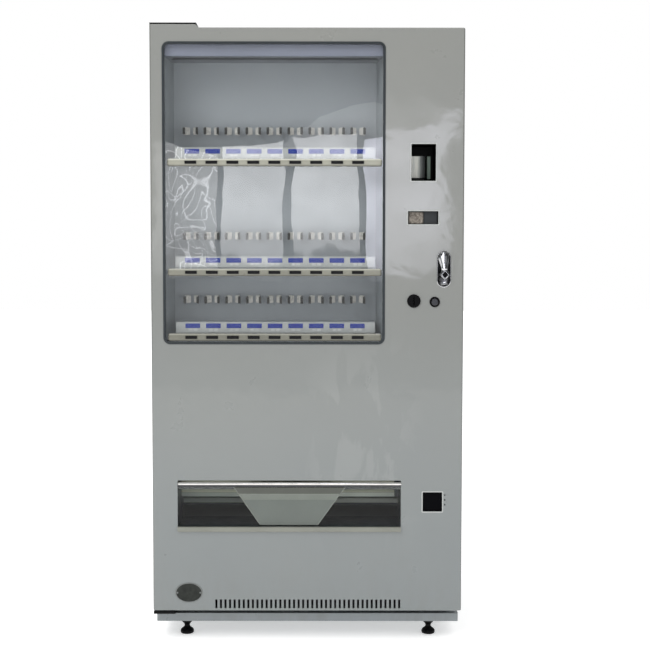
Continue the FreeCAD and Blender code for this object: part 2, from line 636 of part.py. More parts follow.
# ---------------------------------------------------------------------------
# lock handle: dish, spindle, lever on a cross pin, lock plug
# ---------------------------------------------------------------------------
dx, dh = g("dish_x"), g("dish_half")
b = keep(body("handle_dish"))
sk = sketch(b, "dish_rim", "XZ_Plane", F - g("dish_rim"))
rrect(sk, dx - dh, dx + dh, g("dish_low"), g("dish_top"), 20.8)
p = pad(b, sk, g("dish_rim"), "dish_rim_pad")
yd = (F - g("dish_rim")).v
soften(b, p, 1.0, lambda ed: near(ed.CenterOfMass.y, yd), "dish_rim_round")
sk = sketch(b, "dish_bowl", "XZ_Plane", F)
rrect(sk, dx - dh + 2.5, dx + dh - 2.5, g("dish_low") + 2.5, g("dish_top") - 2.5, 18.3)
pad(b, sk, g("dish_deep"), "dish_bowl_pad")
sk = sketch(b, "dish_hollow", "XZ_Plane", F - g("dish_rim"))
rrect(sk, dx - dh + 4.5, dx + dh - 4.5, g("dish_low") + 4.5, g("dish_top") - 4.5, 16.3)
cut(b, sk, g("dish_rim") + g("dish_deep") - 2, "dish_hollow_cut")
sk = sketch(b, "dish_bore", "XZ_Plane", F)
ring(sk, g("hub_x"), g("hub_z"), g("shaft_r") + 0.4)
cut(b, sk, 40, "dish_bore_cut")

hx, hz, pd_ = g("hub_x"), g("hub_z"), g("pop_d")
head = rod("spindle_head", "y", hx, back(8), hz, 10, 1.7)
shaft = rod("spindle_shaft", "y", hx, back(9), hz, g("shaft_r"), 131)
cam = box("latch_cam", hx - 10, hx + 10, back(126), back(132), hz - 10, hz + 48)
ears = []
for s, nm in ((-1, "l"), (1, "r")):
    xa = hx + (-9 if s < 0 else 5.4)
    ears.append(box("ear_" + nm, xa, xa + 3.6, back(pd_), back(8.5), hz - 3.6, hz + 3.6))
    ears.append(rod("ear_eye_" + nm, "x", xa, back(pd_), hz, 3.6, 3.6))
pin = rod("cross_pin", "x", hx - 9, back(pd_), hz, 1.8, 18)
keep(union("handle_spindle", [head, shaft, cam, pin] + ears))

b = keep(body("handle_lever"))
lb, lt = g("lever_back"), g("lever_thick")
sk = sketch(b, "lever_outline", "XZ_Plane", F - lb - lt)
tx, tz, tr = g("lever_top_x"), g("lever_top_z"), g("lever_top_r")
pts = []
for a in (-12, 20, 45, 70, 90, 110, 135, 160, 192):
    pts.append((tx + tr * math.cos(math.radians(a)), tz + tr * math.sin(math.radians(a))))
pts += [(hx - 9.6, hz + 13.2), (hx - 14.4, hz + 0.5), (hx - 9.5, hz - 8.6), (hx, hz - 15.2), (hx + 9.5, hz - 8.6),
        (hx + 14.4, hz + 0.5), (hx + 9.6, hz + 13.2)]
loop(sk, pts)
p = pad(b, sk, lt, "lever_pad")
r1 = soften(b, p, 4.5, lambda ed: edge_dir(ed, V(0, 1, 0)) and ed.CenterOfMass.z < (hz + 14).v, "lever_corners")
doc.recompute()
yl = (F - lb - lt).v
soften(b, r1, 2.0, lambda ed: near(ed.CenterOfMass.y, yl), "lever_round")
# the heel is undercut, so that it clears the dish when the raised lever is turned
sk = sketch(b, "lever_heel", "XZ_Plane", F - lb - 5.5)
rect(sk, hx - 17, hx + 17, hz - 18, hz - 9)
cut(b, sk, 8.5, "lever_heel_cut")
sk = sketch(b, "lever_key", "XZ_Plane", F - lb - lt)
loop(sk, [(hx - 9, hz), (hx, hz - 10), (hx + 9, hz), (hx, hz + 10)])
cut(b, sk, 2.0, "lever_key_cut")
sk = sketch(b, "lever_bore", "XZ_Plane", F - lb - lt)
ring(sk, hx, hz, g("plug_r") + g("plug_gap"))
cut(b, sk, lt - 2, "lever_bore_cut")
sk = sketch(b, "lever_dots", "XZ_Plane", F - lb - lt)
ring(sk, g("lever_top_x") - 6.0, g("lever_top_z") + 7.6, 2.8)
ring(sk, g("lever_top_x") + 6.2, g("lever_top_z") + 6.2, 2.8)
cut(b, sk, 3.0, "lever_dots_cut")
# lug behind the hub, with the eye for the cross pin
sk = sketch(b, "lug_side", "YZ_Plane", hx - 5)
ya, yc4 = F - lb - 0.5, back(pd_)
loop(sk, [(ya, hz - 3.6), (yc4, hz - 3.6), (yc4 + 3.1, hz - 1.8), (yc4 + 3.6, hz + 0.01), (yc4 + 3.1, hz + 1.8), (yc4, hz + 3.6), (ya, hz + 3.6)])
pad(b, sk, 10, "lug_side_pad", flip=False)
sk = sketch(b, "lug_eye", "YZ_Plane", hx - 6)
ring(sk, yc4, hz, size(1.8) + g("pin_fit"))
cut(b, sk, 12, "lug_eye_cut", flip=True)

b = keep(body("lock_plug"))
sk = sketch(b, "plug_face", "XZ_Plane", g("front_most"))
ring(sk, hx, hz, g("plug_r"))
plen = F - lb - 2.4 - g("front_most")
p = pad(b, sk, plen, "plug_pad")
yp = g("front_most").v
soften(b, p, 0.8, lambda ed: near(ed.CenterOfMass.y, yp), "plug_round")
sk = sketch(b, "key_slot", "XZ_Plane", g("front_most"))
rect(sk, hx - 0.9, hx + 0.9, hz - 4, hz + 4)
cut(b, sk, 7, "key_slot_cut")

# ---------------------------------------------------------------------------
# pick-up bin in the door: tunnel, baffle, sill; and its swinging flap
# ---------------------------------------------------------------------------
bw2 = g("bin_wall")
o1 = box("bin_case", g("bin_left") - bw2, g("bin_right") + bw2, back(t), y1, g("bin_low") - bw2, g("bin_top") + bw2)
o2 = box("bin_void", g("bin_left"), g("bin_right"), back(t) - 1, y1 + 1, g("bin_low"), g("bin_top"))
o3 = rod("bin_pivot", "x", g("bin_left") - 2.5, back(g("flap_d")), g("flap_z"), size(2.5) + g("pin_fit"),
         g("bin_right") - g("bin_left") + 5)
tun = minus("bin_tunnel", o1, union("bin_voids", [o2, o3]))
baf = box("bin_baffle", g("bin_left") - 1, g("bin_right") + 1, back(g("d_baffle")), back(g("d_baffle")) + 3, g("baffle_low"), g("bin_top") + 1)
lip1 = box("bin_sill_top", g("bin_left"), g("bin_right"), back(t) - t - g("sill_proud"), back(t) + 5, g("bin_low") - 3, g("bin_low"))
lip2 = box("bin_sill_face", g("bin_left"), g("bin_right"), F - g("sill_proud"), F, g("sill_low"), g("bin_low"))
sill = doc.addObject("Part::Fillet", "bin_sill")
sill.Base = lip2
doc.recompute()
ids = [i + 1 for i, ed in enumerate(lip2.Shape.Edges)
       if edge_dir(ed, V(1, 0, 0)) and near(ed.CenterOfMass.y, (F - g("sill_proud")).v)]
sill.Edges = [(i, 3.0, 3.0) for i in ids]
step = box("bin_step", g("bin_left"), g("bin_right"), F - 1, back(t) + 5, g("bin_low") - 2.9, g("bin_low"))
# the skin's edge sits in a groove between the sill face and the tunnel floor
groove = box("bin_groove", g("bin_left") - 5, g("bin_right") + 5, F, back(t), g("bin_low") - 6, g("bin_low") + 0.0)
keep(group("pickup_frame", [union("bin_body", [tun, baf]), sill]))
for o in (lip1, step, groove):
    doc.removeObject(o.Name)

o1 = rod("flap_rail", "x", g("bin_left") + 2.5, back(g("flap_d")), g("flap_z"), g("flap_rod"), g("bin_right") - g("bin_left") - 5)
o2 = box("flap_panel", g("bin_left") + 3.5, g("bin_right") - 3.5, back(g("flap_d")) - g("flap_thick") / 2,
         back(g("flap_d")) + g("flap_thick") / 2, g("flap_low"), g("flap_z"))
o3 = rod("flap_pins", "x", g("bin_left") - 2, back(g("flap_d")), g("flap_z"), 2.5, g("bin_right") - g("bin_left") + 4)
keep(union("pickup_flap", [o1, o2, o3]))

# ---------------------------------------------------------------------------
# oval nameplate with two rivets (blank)
# ---------------------------------------------------------------------------
b = keep(body("nameplate"))
sk = sketch(b, "oval", "XZ_Plane", F - g("plate_thick"))
px, pz, pa, pb = g("plate_x"), g("plate_z"), g("plate_a"), g("plate_b")
i = sk.addGeometry(Part.Ellipse(V(px.v + pa.v, pz.v, 0), V(px.v, pz.v + pb.v, 0), V(px.v, pz.v, 0)), False)
sk.exposeInternalGeometry(i)
pin_point(sk, i, 3, px, pz)
n = sk.addConstraint(Sketcher.Constraint("Distance", i + 1, pa.v * 2))
sk.setExpression("Constraints[%d]" % n, (pa * 2).e)
n = sk.addConstraint(Sketcher.Constraint("Distance", i + 2, pb.v * 2))
sk.setExpression("Constraints[%d]" % n, (pb * 2).e)
sk.addConstraint(Sketcher.Constraint("Horizontal", i + 1))
p = pad(b, sk, g("plate_thick"), "oval_pad")
sk = sketch(b, "rivets", "XZ_Plane", F - g("plate_thick") - 1.2)
ring(sk, px - pa + 8, pz, 2.6)
ring(sk, px + pa - 8, pz, 2.6)
pad(b, sk, size(1.3), "rivets_pad")

# ---------------------------------------------------------------------------
# cabinet: insulated shell with a product bay above and a machine bay below
# ---------------------------------------------------------------------------
b = keep(body("cabinet_shell"))
cy = back(g("d_cab"))
sk = sketch(b, "cab_outline", "XZ_Plane", cy)
rect(sk, -g("cab_half"), g("cab_half"), g("cab_low"), g("cab_top"))
p = pad(b, sk, g("cab_back") - cy, "cab_pad")
soften(b, p, 4, lambda ed: edge_dir(ed, V(0, 1, 0)), "cab_round")
wl = g("wall")
sk = sketch(b, "product_bay", "XZ_Plane", cy)
rect(sk, -(g("cab_half") - wl), g("cab_half") - wl, g("deck_top"), g("cab_top") - wl)
cut(b, sk, g("cab_back") - cy - wl, "product_bay_cut")
sk = sketch(b, "machine_bay", "XZ_Plane", cy)
rect(sk, -(g("cab_half") - wl), g("cab_half") - wl, g("bay_low"), g("deck_low"))
cut(b, sk, g("cab_back") - cy, "machine_bay_cut")

# rear grille over the machine bay, with spacers and a cable gland
b = body("grille_plate")
sk = sketch(b, "grille_outline", "XZ_Plane", g("cab_back"))
rect(sk, -(g("cab_half") - 20), g("cab_half") - 20, g("bay_low") - 6, g("deck_low") + 6)
pad(b, sk, 3, "grille_pad")
sk = sketch(b, "gland_hole", "XZ_Plane", g("cab_back"))
ring(sk, 340, g("bay_low") + 60, 4.5)
cut(b, sk, 3, "gland_hole_cut")
sk = sketch(b, "louvre", "XZ_Plane", g("cab_back"))
rrect(sk, -380, 250, g("bay_low") + 16, g("bay_low") + 24, 3.5)
pk = cut(b, sk, 3, "louvre_cut")
pat = b.newObject("PartDesign::LinearPattern", "louvre_row")
pat.Originals = [pk]
pat.Direction = (sk, ["V_Axis"])
pat.Length = 160
pat.Occurrences = 9
b.Tip = pat
doc.recompute()
sp = [box("spacer_%d" % i, x - 15, x + 15, g("cab_back") + 3, g("machine_back"), g("deck_low") - 40, g("deck_low") - 10)
      for i, x in enumerate((-410, 410))]
gl = minus("gland", rod("gland_body", "y", 340, g("cab_back") + 3, g("bay_low") + 60, 11, 5),
           rod("gland_bore", "y", 340, g("cab_back") + 2, g("bay_low") + 60, 4.5, 7))
keep(group("rear_grille", [b] + sp + [gl]))

# base: an inverted tray under the cabinet, set back under the door
b = keep(body("base_frame"))
sk = sketch(b, "base_outline", "XY_Plane", g("base_low"))
rect(sk, -g("base_half"), g("base_half"), back(g("d_base")), g("base_back"))
p = pad(b, sk, g("cab_low") - g("base_low"), "base_pad", flip=False)
soften(b, p, 3, lambda ed: edge_dir(ed, V(0, 0, 1)), "base_round")
sk = sketch(b, "base_hollow", "XY_Plane", g("base_low"))
q = g("base_wall")
rect(sk, -(g("base_half") - q), g("base_half") - q, back(g("d_base")) + q, g("base_back") - q)
cut(b, sk, g("cab_low") - g("base_low") - q, "base_hollow_cut", flip=True)

feet = []
for ix, sx in (("l", -1), ("r", 1)):
    for iy, yy in (("f", back(g("d_foot"))), ("b", g("foot_back"))):
        nm = "foot_" + ix + iy
        x = g("foot_x") * sx
        padd = rod(nm + "_pad", "z", x, yy, 0, g("foot_r"), 9)
        cone = doc.addObject("Part::Cone", nm + "_cone")
        cone.setExpression("Radius1", g("foot_r").e)
        cone.setExpression("Radius2", (g("foot_neck") + 3).e)
        cone.Height = 6
        place(cone, x, yy, 9)
        neck = rod(nm + "_neck", "z", x, yy, 14, g("foot_neck"), g("cab_low") - g("base_wall") - 14)
        coll = rod(nm + "_collar", "z", x, yy, 36, g("foot_collar"), 11)
        feet.append(union(nm, [padd, cone, neck, coll]))
keep(group("levelling_feet", feet))

# hinge brackets on the cabinet, top and bottom, with their pins
hp, hg = g("hinge_plate"), g("hinge_gap")
zt = g("lug_top") + hg
tp = box("top_plate", -g("door_half"), g("lug_right") - 7, back(2), back(262), zt, zt + hp)
tb = box("top_riser", -(g("door_half") - 5), g("lug_right") - 12, back(164), back(260), g("cab_top"), zt)
tpin = rod("top_pin", "z", g("hinge_x"), hy, g("door_top") - 12, g("pin_r"), zt - g("door_top") + 13)
bp = box("bottom_plate", -g("door_half") + 1, -397, back(5), back(160), g("door_low") - 11, g("door_low") - 3)
br = box("bottom_riser", -g("door_half") + 6, -402, back(60), back(160), g("cab_low"), g("door_low") - 11)
bpin = rod("bottom_pin", "z", g("hinge_x"), hy, g("door_low") - 4, g("pin_r"), 16)
keep(group("hinge_brackets", [union("top_bracket", [tp, tb, tpin]), union("bottom_bracket", [bp, br, bpin])]))

# ---------------------------------------------------------------------------
# inside the cabinet
# ---------------------------------------------------------------------------
rack = []
lanes = int(g("lanes").v)
rh = g("rack_half")
for i in range(lanes + 1):
    x = -rh + (rh * 2 / g("lanes")) * i
    rack.append(box("lane_%d" % i, x - g("rack_sheet") / 2, x + g("rack_sheet") / 2, g("rack_front"), g("rack_back"),
                    g("rack_low"), g("rack_high")))
for i, yy in enumerate((-140, 60, 260)):
    rack.append(box("gate_bar_%d" % i, -(rh + 4), rh + 4, yy, yy + 30, g("rack_low") - 20, g("rack_low")))
for i, yy in enumerate((-150, 270)):
    rack.append(box("hang_bar_%d" % i, -(rh + 4), rh + 4, yy, yy + 30, g("rack_high"), g("cab_top") - wl))
keep(group("product_rack", rack))

# chute: lip at the door, ramp rising to the back, and a side deflector
b = body("chute_sheet_body")
sk = sketch(b, "chute_side", "YZ_Plane", -g("chute_half"))
ly = back(g("d_cab")) + 6
cs = g("chute_sheet")
loop(sk, [(ly, g("chute_lip") - 20), (ly + cs, g("chute_lip") - 20), (ly + cs, g("chute_lip") - cs), (g("cab_back") - wl, g("chute_lip") + 150),
          (g("cab_back") - wl, g("chute_lip") + 150 + cs), (ly, g("chute_lip"))])
pad(b, sk, g("chute_half") * 2, "chute_pad", flip=False)
d = doc.addObject("Part::Box", "deflector")
d.Length = 3
d.Width = 250
d.Height = 60
place(d, 300, -170, g("chute_lip") + 110, FreeCAD.Rotation(V(0, 0, 1), -22))
leg1 = box("chute_leg_l", -g("chute_half"), -g("chute_half") + 3, ly + 30, ly + 60, g("deck_top"), g("chute_lip") + 7)
leg2 = box("chute_leg_r", g("chute_half") - 3, g("chute_half"), ly + 30, ly + 60, g("deck_top"), g("chute_lip") + 7)
doc.removeObject(d.Name)
keep(union("delivery_chute", [b, leg1, leg2]))

# cooling unit in the machine bay: tray, condenser, shroud, compressor, motor
zb = g("bay_low")
fx, fzz, fyy = g("fan_x"), g("fan_z"), g("fan_y")
tray_ = box("cool_tray", -330, 330, -185, 250, zb, zb + 2)
cond = box("condenser", fx - 150, fx + 150, fyy - 70, fyy - 25, zb + 2, zb + 192)
shr = minus("fan_shroud", box("shroud_box", fx - 110, fx + 110, fyy - 18, fyy + 18, zb + 2, zb + 194),
            rod("shroud_hole", "y", fx, fyy - 20, fzz, g("fan_hole"), 40))
mot = rod("fan_motor", "y", fx, fyy + 30, fzz, 30, 60)
mst = box("motor_stand", fx - 12, fx + 12, fyy + 40, fyy + 80, zb + 2, fzz - 29)
motor = union("motor_unit", [mot, mst])
comp = rod("compressor_can", "z", -170, 90, zb + 12, 85, 140)
dome = doc.addObject("Part::Cone", "compressor_dome")
dome.Radius1 = 85
dome.Radius2 = 45
dome.Height = 32
place(dome, -170, 90, zb + 152)
cft = box("compressor_foot", -260, -80, 20, 160, zb + 2, zb + 13)
keep(group("cooling_unit", [tray_, cond, shr, motor, union("compressor", [comp, dome, cft])]))

blades = [rod("fan_hub", "y", fx, fyy - 12, fzz, 22, 26), rod("fan_shaft", "y", fx, fyy + 10, fzz, 4, 19)]
for i in range(5):
    bl = doc.addObject("Part::Box", "blade_%d" % i)
    bl.setExpression("Length", (g("fan_r") - 18).e)
    bl.Width = 2
    bl.Height = 34
    # a blade points out along the local X, pitched about it, then is turned round the fan axis
    pitch = FreeCAD.Placement(V(0, 0, 0), FreeCAD.Rotation(V(1, 0, 0), 55))
    local = FreeCAD.Placement(V(18, -1, -17), FreeCAD.Rotation())
    turn = FreeCAD.Placement(V(fx.v, fyy.v, fzz.v), FreeCAD.Rotation(V(0, 1, 0), 72 * i))
    bl.Placement = turn.multiply(pitch).multiply(local)
    blades.append(bl)
keep(union("condenser_fan", blades))

# ---------------------------------------------------------------------------
# recompute, check everything, write one STEP per sub-part
# ---------------------------------------------------------------------------
doc.recompute()
bad = []
for o in doc.Objects:
    if any(w in ("Invalid", "Error") for w in o.State):
        bad.append("%s %s" % (o.Name, o.State))
for o in NODES:
    if o.Shape.isNull() or not o.Shape.isValid() or not o.Shape.Solids:
        bad.append("shape of %s" % o.Label)
if bad:
    raise SystemExit("failed: " + "; ".join(bad))
if len(NODES) > 60 or len({o.Label for o in NODES}) != len(NODES):
    raise SystemExit("node list is wrong: %d" % len(NODES))
total = None
for o in NODES:
    o.Shape.exportStep("parts/%s.step" % o.Label)
    bb = o.Shape.BoundBox
    total = bb if total is None else total.united(bb)
    print("%-20s solids %3d  vol %12.1f  x %8.1f %8.1f  y %8.1f %8.1f  z %8.1f %8.1f" % (
        o.Label, len(o.Shape.Solids), o.Shape.Volume, bb.XMin, bb.XMax, bb.YMin, bb.YMax, bb.ZMin, bb.ZMax))
print("nodes", len(NODES), "total x %.2f %.2f y %.2f %.2f z %.2f %.2f" % (
    total.XMin, total.XMax, total.YMin, total.YMax, total.ZMin, total.ZMax))
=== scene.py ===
"""Looks of the vending machine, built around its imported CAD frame. Metres, Z up, front of the door at y = -0.362."""
import bpy, bmesh, math
from mathutils import Vector, Matrix


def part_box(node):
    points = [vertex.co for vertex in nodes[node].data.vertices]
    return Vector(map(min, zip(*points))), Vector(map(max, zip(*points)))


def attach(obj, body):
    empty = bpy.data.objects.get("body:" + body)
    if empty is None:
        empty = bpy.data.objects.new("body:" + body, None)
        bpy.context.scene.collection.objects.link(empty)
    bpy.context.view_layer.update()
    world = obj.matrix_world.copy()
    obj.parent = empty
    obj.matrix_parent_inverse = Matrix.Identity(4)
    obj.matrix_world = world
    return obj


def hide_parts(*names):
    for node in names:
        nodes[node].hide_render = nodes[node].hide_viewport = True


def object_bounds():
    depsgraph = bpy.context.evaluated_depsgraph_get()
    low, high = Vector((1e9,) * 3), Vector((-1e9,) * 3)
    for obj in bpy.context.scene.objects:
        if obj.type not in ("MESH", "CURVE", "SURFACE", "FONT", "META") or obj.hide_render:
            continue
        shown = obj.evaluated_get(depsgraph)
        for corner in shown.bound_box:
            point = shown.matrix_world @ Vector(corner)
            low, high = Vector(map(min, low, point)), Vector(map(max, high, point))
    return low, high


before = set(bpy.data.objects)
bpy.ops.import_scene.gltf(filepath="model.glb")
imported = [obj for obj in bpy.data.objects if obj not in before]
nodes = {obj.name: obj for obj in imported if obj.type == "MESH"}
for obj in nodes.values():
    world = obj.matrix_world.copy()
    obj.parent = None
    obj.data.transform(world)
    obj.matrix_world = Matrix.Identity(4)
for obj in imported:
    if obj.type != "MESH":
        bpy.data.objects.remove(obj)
cad_lo, cad_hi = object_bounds()
scene = bpy.context.scene
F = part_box("nameplate")[1].y            # plane of the door's front face


# ---------------------------------------------------------------- node helpers
def new_mat(name):
    m = bpy.data.materials.new(name)
    m.use_nodes = True
    nt = m.node_tree
    nt.nodes.clear()
    out = nt.nodes.new("ShaderNodeOutputMaterial")
    bs = nt.nodes.new("ShaderNodeBsdfPrincipled")
    nt.links.new(bs.outputs["BSDF"], out.inputs["Surface"])
    return m, nt, bs, out


def put(nt, sock, val):
    if isinstance(val, bpy.types.NodeSocket):
        nt.links.new(val, sock)
    elif isinstance(val, (tuple, list)):
        sock.default_value = tuple(val) + ((1.0,) if len(val) == 3 and sock.type == "RGBA" else ())
    else:
        sock.default_value = val


def obj_co(nt):
    return nt.nodes.new("ShaderNodeTexCoord").outputs["Object"]


def scaled(nt, vec, s):
    n = nt.nodes.new("ShaderNodeMapping")
    nt.links.new(vec, n.inputs["Vector"])
    n.inputs["Scale"].default_value = s
    return n.outputs["Vector"]


def noise(nt, vec, scale, detail=3.0, rough=0.5, dist=0.0):
    n = nt.nodes.new("ShaderNodeTexNoise")
    nt.links.new(vec, n.inputs["Vector"])
    n.inputs["Scale"].default_value = scale
    n.inputs["Detail"].default_value = detail
    n.inputs["Roughness"].default_value = rough
    n.inputs["Distortion"].default_value = dist
    return n.outputs["Fac"]


def voronoi(nt, vec, scale, feature="F1"):
    n = nt.nodes.new("ShaderNodeTexVoronoi")
    n.feature = feature
    nt.links.new(vec, n.inputs["Vector"])
    n.inputs["Scale"].default_value = scale
    return n.outputs["Distance"]


def remap(nt, val, a, b, c=0.0, d=1.0, smooth=False):
    n = nt.nodes.new("ShaderNodeMapRange")
    n.clamp = True
    if smooth:
        n.interpolation_type = "SMOOTHSTEP"
    put(nt, n.inputs["Value"], val)
    for k, v in (("From Min", a), ("From Max", b), ("To Min", c), ("To Max", d)):
        n.inputs[k].default_value = v
    return n.outputs["Result"]


def mth(nt, op, a, b=0.0):
    n = nt.nodes.new("ShaderNodeMath")
    n.operation = op
    put(nt, n.inputs[0], a)
    put(nt, n.inputs[1], b)
    return n.outputs[0]


def mixc(nt, fac, a, b, mode="MIX"):
    n = nt.nodes.new("ShaderNodeMix")
    n.data_type = "RGBA"
    n.blend_type = mode
    put(nt, n.inputs[0], fac)
    put(nt, n.inputs[6], a)
    put(nt, n.inputs[7], b)
    return n.outputs[2]


def axes(nt, vec):
    n = nt.nodes.new("ShaderNodeSeparateXYZ")
    nt.links.new(vec, n.inputs[0])
    return n.outputs["X"], n.outputs["Y"], n.outputs["Z"]


def between(nt, v, a, b, soft=0.0004):
    """1 where a < v < b."""
    return mth(nt, "MULTIPLY", remap(nt, v, a - soft, a + soft), remap(nt, v, b - soft, b + soft, 1.0, 0.0))


def bump(nt, bs, height, distance, strength=1.0, prev=None):
    n = nt.nodes.new("ShaderNodeBump")
    n.inputs["Strength"].default_value = strength
    n.inputs["Distance"].default_value = distance
    nt.links.new(height, n.inputs["Height"])
    if prev is not None:
        nt.links.new(prev, n.inputs["Normal"])
    if bs is not None:
        nt.links.new(n.outputs["Normal"], bs.inputs["Normal"])
    return n.outputs["Normal"]


def sc(c, k):
    return tuple(x * k for x in c)


def surface(name, base, rough=0.4, metal=0.0, coat=0.0, coat_rough=0.04, spec=0.5, tint=0.05, tint_scale=4.0,
            grain=0.03, grain_scale=180.0, rvar=0.06, rscale=30.0, bumps=(), base2=None, stretch=None, ior=1.5,
            dirt=0.0, dirt_col=(0.06, 0.055, 0.045), dirt_scale=14.0):
    """A finish with cloudy tint, fine grain, uneven roughness, bumps at stated scales, and dirt in patches."""
    m, nt, bs, out = new_mat(name)
    co = obj_co(nt)
    vec = scaled(nt, co, stretch) if stretch else co
    b2 = base2 or sc(base, 1.0 - 2.0 * tint)
    col = mixc(nt, remap(nt, noise(nt, co, tint_scale, 4.0), 0.32, 0.68), base, b2)
    if grain:
        g = noise(nt, vec, grain_scale, 2.0, 0.6)
        col = mixc(nt, remap(nt, g, 0.3, 0.7), mixc(nt, 1.0, col, (1 - grain,) * 3, "MULTIPLY"), mixc(nt, 1.0, col, (1 + grain,) * 3, "MULTIPLY"))
    if dirt:
        d = remap(nt, noise(nt, co, dirt_scale, 6.0, 0.65), 0.52, 0.78, 0.0, dirt)
        col = mixc(nt, d, col, dirt_col)
    nt.links.new(col, bs.inputs["Base Color"])
    r = noise(nt, vec, rscale, 3.0, 0.6)
    nt.links.new(remap(nt, r, 0.3, 0.7, max(0.01, rough - rvar), min(1.0, rough + rvar)), bs.inputs["Roughness"])
    bs.inputs["Metallic"].default_value = metal
    bs.inputs["Coat Weight"].default_value = coat
    bs.inputs["Coat Roughness"].default_value = coat_rough
    bs.inputs["Specular IOR Level"].default_value = spec
    bs.inputs["IOR"].default_value = ior
    prev = None
    for scale, dist, det in bumps:
        prev = bump(nt, None, noise(nt, vec, scale, det), dist, 1.0, prev)
    if prev is not None:
        nt.links.new(prev, bs.inputs["Normal"])
        if coat:
            nt.links.new(prev, bs.inputs["Coat Normal"])
    return m, nt, bs, co


def simple(*a, **k):
    return surface(*a, **k)[0]


# ---------------------------------------------------------------- finishes
def enamel(name, top, low, z_low, z_top, coat=0.9, wavy=0.0010, darker=1.0, rim=0.0):
    """Grey gloss enamel on pressed steel: painted shading lighter and warmer above, darker and cooler below, orange
    peel, faint waves of the sheet, soiling low down, a painted reflection mid-panel and painted shade on the rolled
    edges.
    """
    m, nt, bs, out = new_mat(name)
    co = obj_co(nt)
    x, y, z = axes(nt, co)
    # painted shade: the colour runs lighter and warmer above, darker and cooler below
    t = remap(nt, z, z_low, z_top, 0.0, 1.0, True)
    col = mixc(nt, t, sc(low, darker), sc(top, darker))
    cloud = noise(nt, co, 1.7, 3.0, 0.45, 0.4)
    col = mixc(nt, remap(nt, cloud, 0.35, 0.65, 0.0, 1.0), col, mixc(nt, 1.0, col, (0.955, 0.965, 0.985), "MULTIPLY"))
    fine = noise(nt, co, 240.0, 2.0, 0.6)
    col = mixc(nt, remap(nt, fine, 0.3, 0.7, 0.0, 0.05), col, (0.16, 0.17, 0.16))
    # scuffs and soil on the lowest hand's breadth
    soil = mth(nt, "MULTIPLY", remap(nt, z, 0.09, 0.32, 0.30, 0.0), remap(nt, noise(nt, scaled(nt, co, (1, 1, 0.35)), 22.0, 6.0, 0.65), 0.45, 0.75))
    col = mixc(nt, soil, col, (0.12, 0.12, 0.105))
    # broad faint lighter streaks in the middle of the panel: a painted reflection of the room
    mirrored_streaks = remap(nt, noise(nt, scaled(nt, co, (1.0, 1.0, 0.30)), 13.0, 4.0, 0.55, 0.5), 0.50, 0.56, 0.0, 1.0, True)
    zone = mth(nt, "MULTIPLY", between(nt, x, 0.03, 0.30, 0.05), between(nt, z, 0.36, 0.86, 0.10))
    col = mixc(nt, mth(nt, "MULTIPLY", mth(nt, "MULTIPLY", mirrored_streaks, zone), 0.13), col, (0.34, 0.35, 0.335))
    # the rolled front edges are painted darker: painted shade where the edge turns away from the light
    edge = mth(nt, "MULTIPLY", remap(nt, mth(nt, "ABSOLUTE", x), cad_hi.x - 0.0042, cad_hi.x - 0.0012, 0.0, rim), remap(nt, y, F + 0.004, F + 0.0065, 1.0, 0.0))
    col = mixc(nt, edge, col, (0.085, 0.09, 0.085))
    nt.links.new(col, bs.inputs["Base Color"])
    nt.links.new(remap(nt, noise(nt, co, 9.0, 5.0, 0.6), 0.3, 0.7, 0.26, 0.40), bs.inputs["Roughness"])
    bs.inputs["Coat Weight"].default_value = coat
    bs.inputs["Coat Roughness"].default_value = 0.05
    bs.inputs["Coat IOR"].default_value = 1.6
    n1 = bump(nt, None, noise(nt, co, 3.1, 2.0, 0.4, 0.3), wavy, 1.0)
    n1 = bump(nt, None, noise(nt, co, 13.0, 2.0, 0.5, 0.4), wavy * 0.4, 1.0, n1)
    n2 = bump(nt, None, noise(nt, co, 420.0, 2.0), 0.000004, 1.0, n1)
    nt.links.new(n2, bs.inputs["Normal"])
    nt.links.new(n2, bs.inputs["Coat Normal"])
    return m


door_paint = enamel("door_enamel", (0.212, 0.215, 0.199), (0.150, 0.167, 0.166), 0.25, 1.30, rim=0.75)
base_paint = enamel("base_enamel", (0.210, 0.231, 0.238), (0.199, 0.221, 0.230), 0.0, 0.2, coat=0.4)
side_paint = enamel("cabinet_enamel", (0.225, 0.230, 0.214), (0.185, 0.203, 0.200), 0.25, 1.25, coat=0.35, wavy=0.002)
inner_steel = simple("inner_steel", (0.36, 0.37, 0.37), rough=0.42, spec=0.4, tint=0.05, grain=0.04, bumps=((300.0, 0.00005, 2.0),), dirt=0.12)
black_rubber = simple("black_rubber", (0.018, 0.018, 0.018), rough=0.62, spec=0.35, tint=0.1, grain=0.15, grain_scale=300.0, bumps=((500.0, 0.00008, 2.0),), dirt=0.2, dirt_col=(0.07, 0.07, 0.065))
gasket = simple("window_gasket", (0.026, 0.032, 0.036), rough=0.46, spec=0.3, tint=0.08, grain=0.08, grain_scale=260.0, bumps=((420.0, 0.00008, 2.0),), dirt=0.15, dirt_col=(0.10, 0.105, 0.10))
black_plastic = simple("black_plastic", (0.003, 0.003, 0.004), rough=0.5, spec=0.02, tint=0.1, grain=0.1, bumps=((650.0, 0.00006, 2.0),))
black_gloss = simple("black_gloss", (0.0025, 0.0025, 0.003), rough=0.25, rvar=0.05, spec=0.09, tint=0.1, grain=0.1, bumps=((700.0, 0.00002, 2.0),))
mech_plastic = simple("mech_plastic", (0.10, 0.105, 0.115), rough=0.5, tint=0.08, bumps=((400.0, 0.00006, 2.0),))
black_metal = simple("black_painted_metal", (0.003, 0.003, 0.0035), rough=0.34, rvar=0.1, spec=0.1, tint=0.15, grain=0.2, grain_scale=120.0, bumps=((160.0, 0.00012, 3.0),), dirt=0.2, dirt_col=(0.03, 0.029, 0.026))
button_black = simple("button_black", (0.004, 0.004, 0.005), rough=0.32, rvar=0.08, spec=0.2, tint=0.1, grain=0.12, bumps=((600.0, 0.00004, 2.0),), dirt=0.15, dirt_col=(0.03, 0.03, 0.027), dirt_scale=60.0)
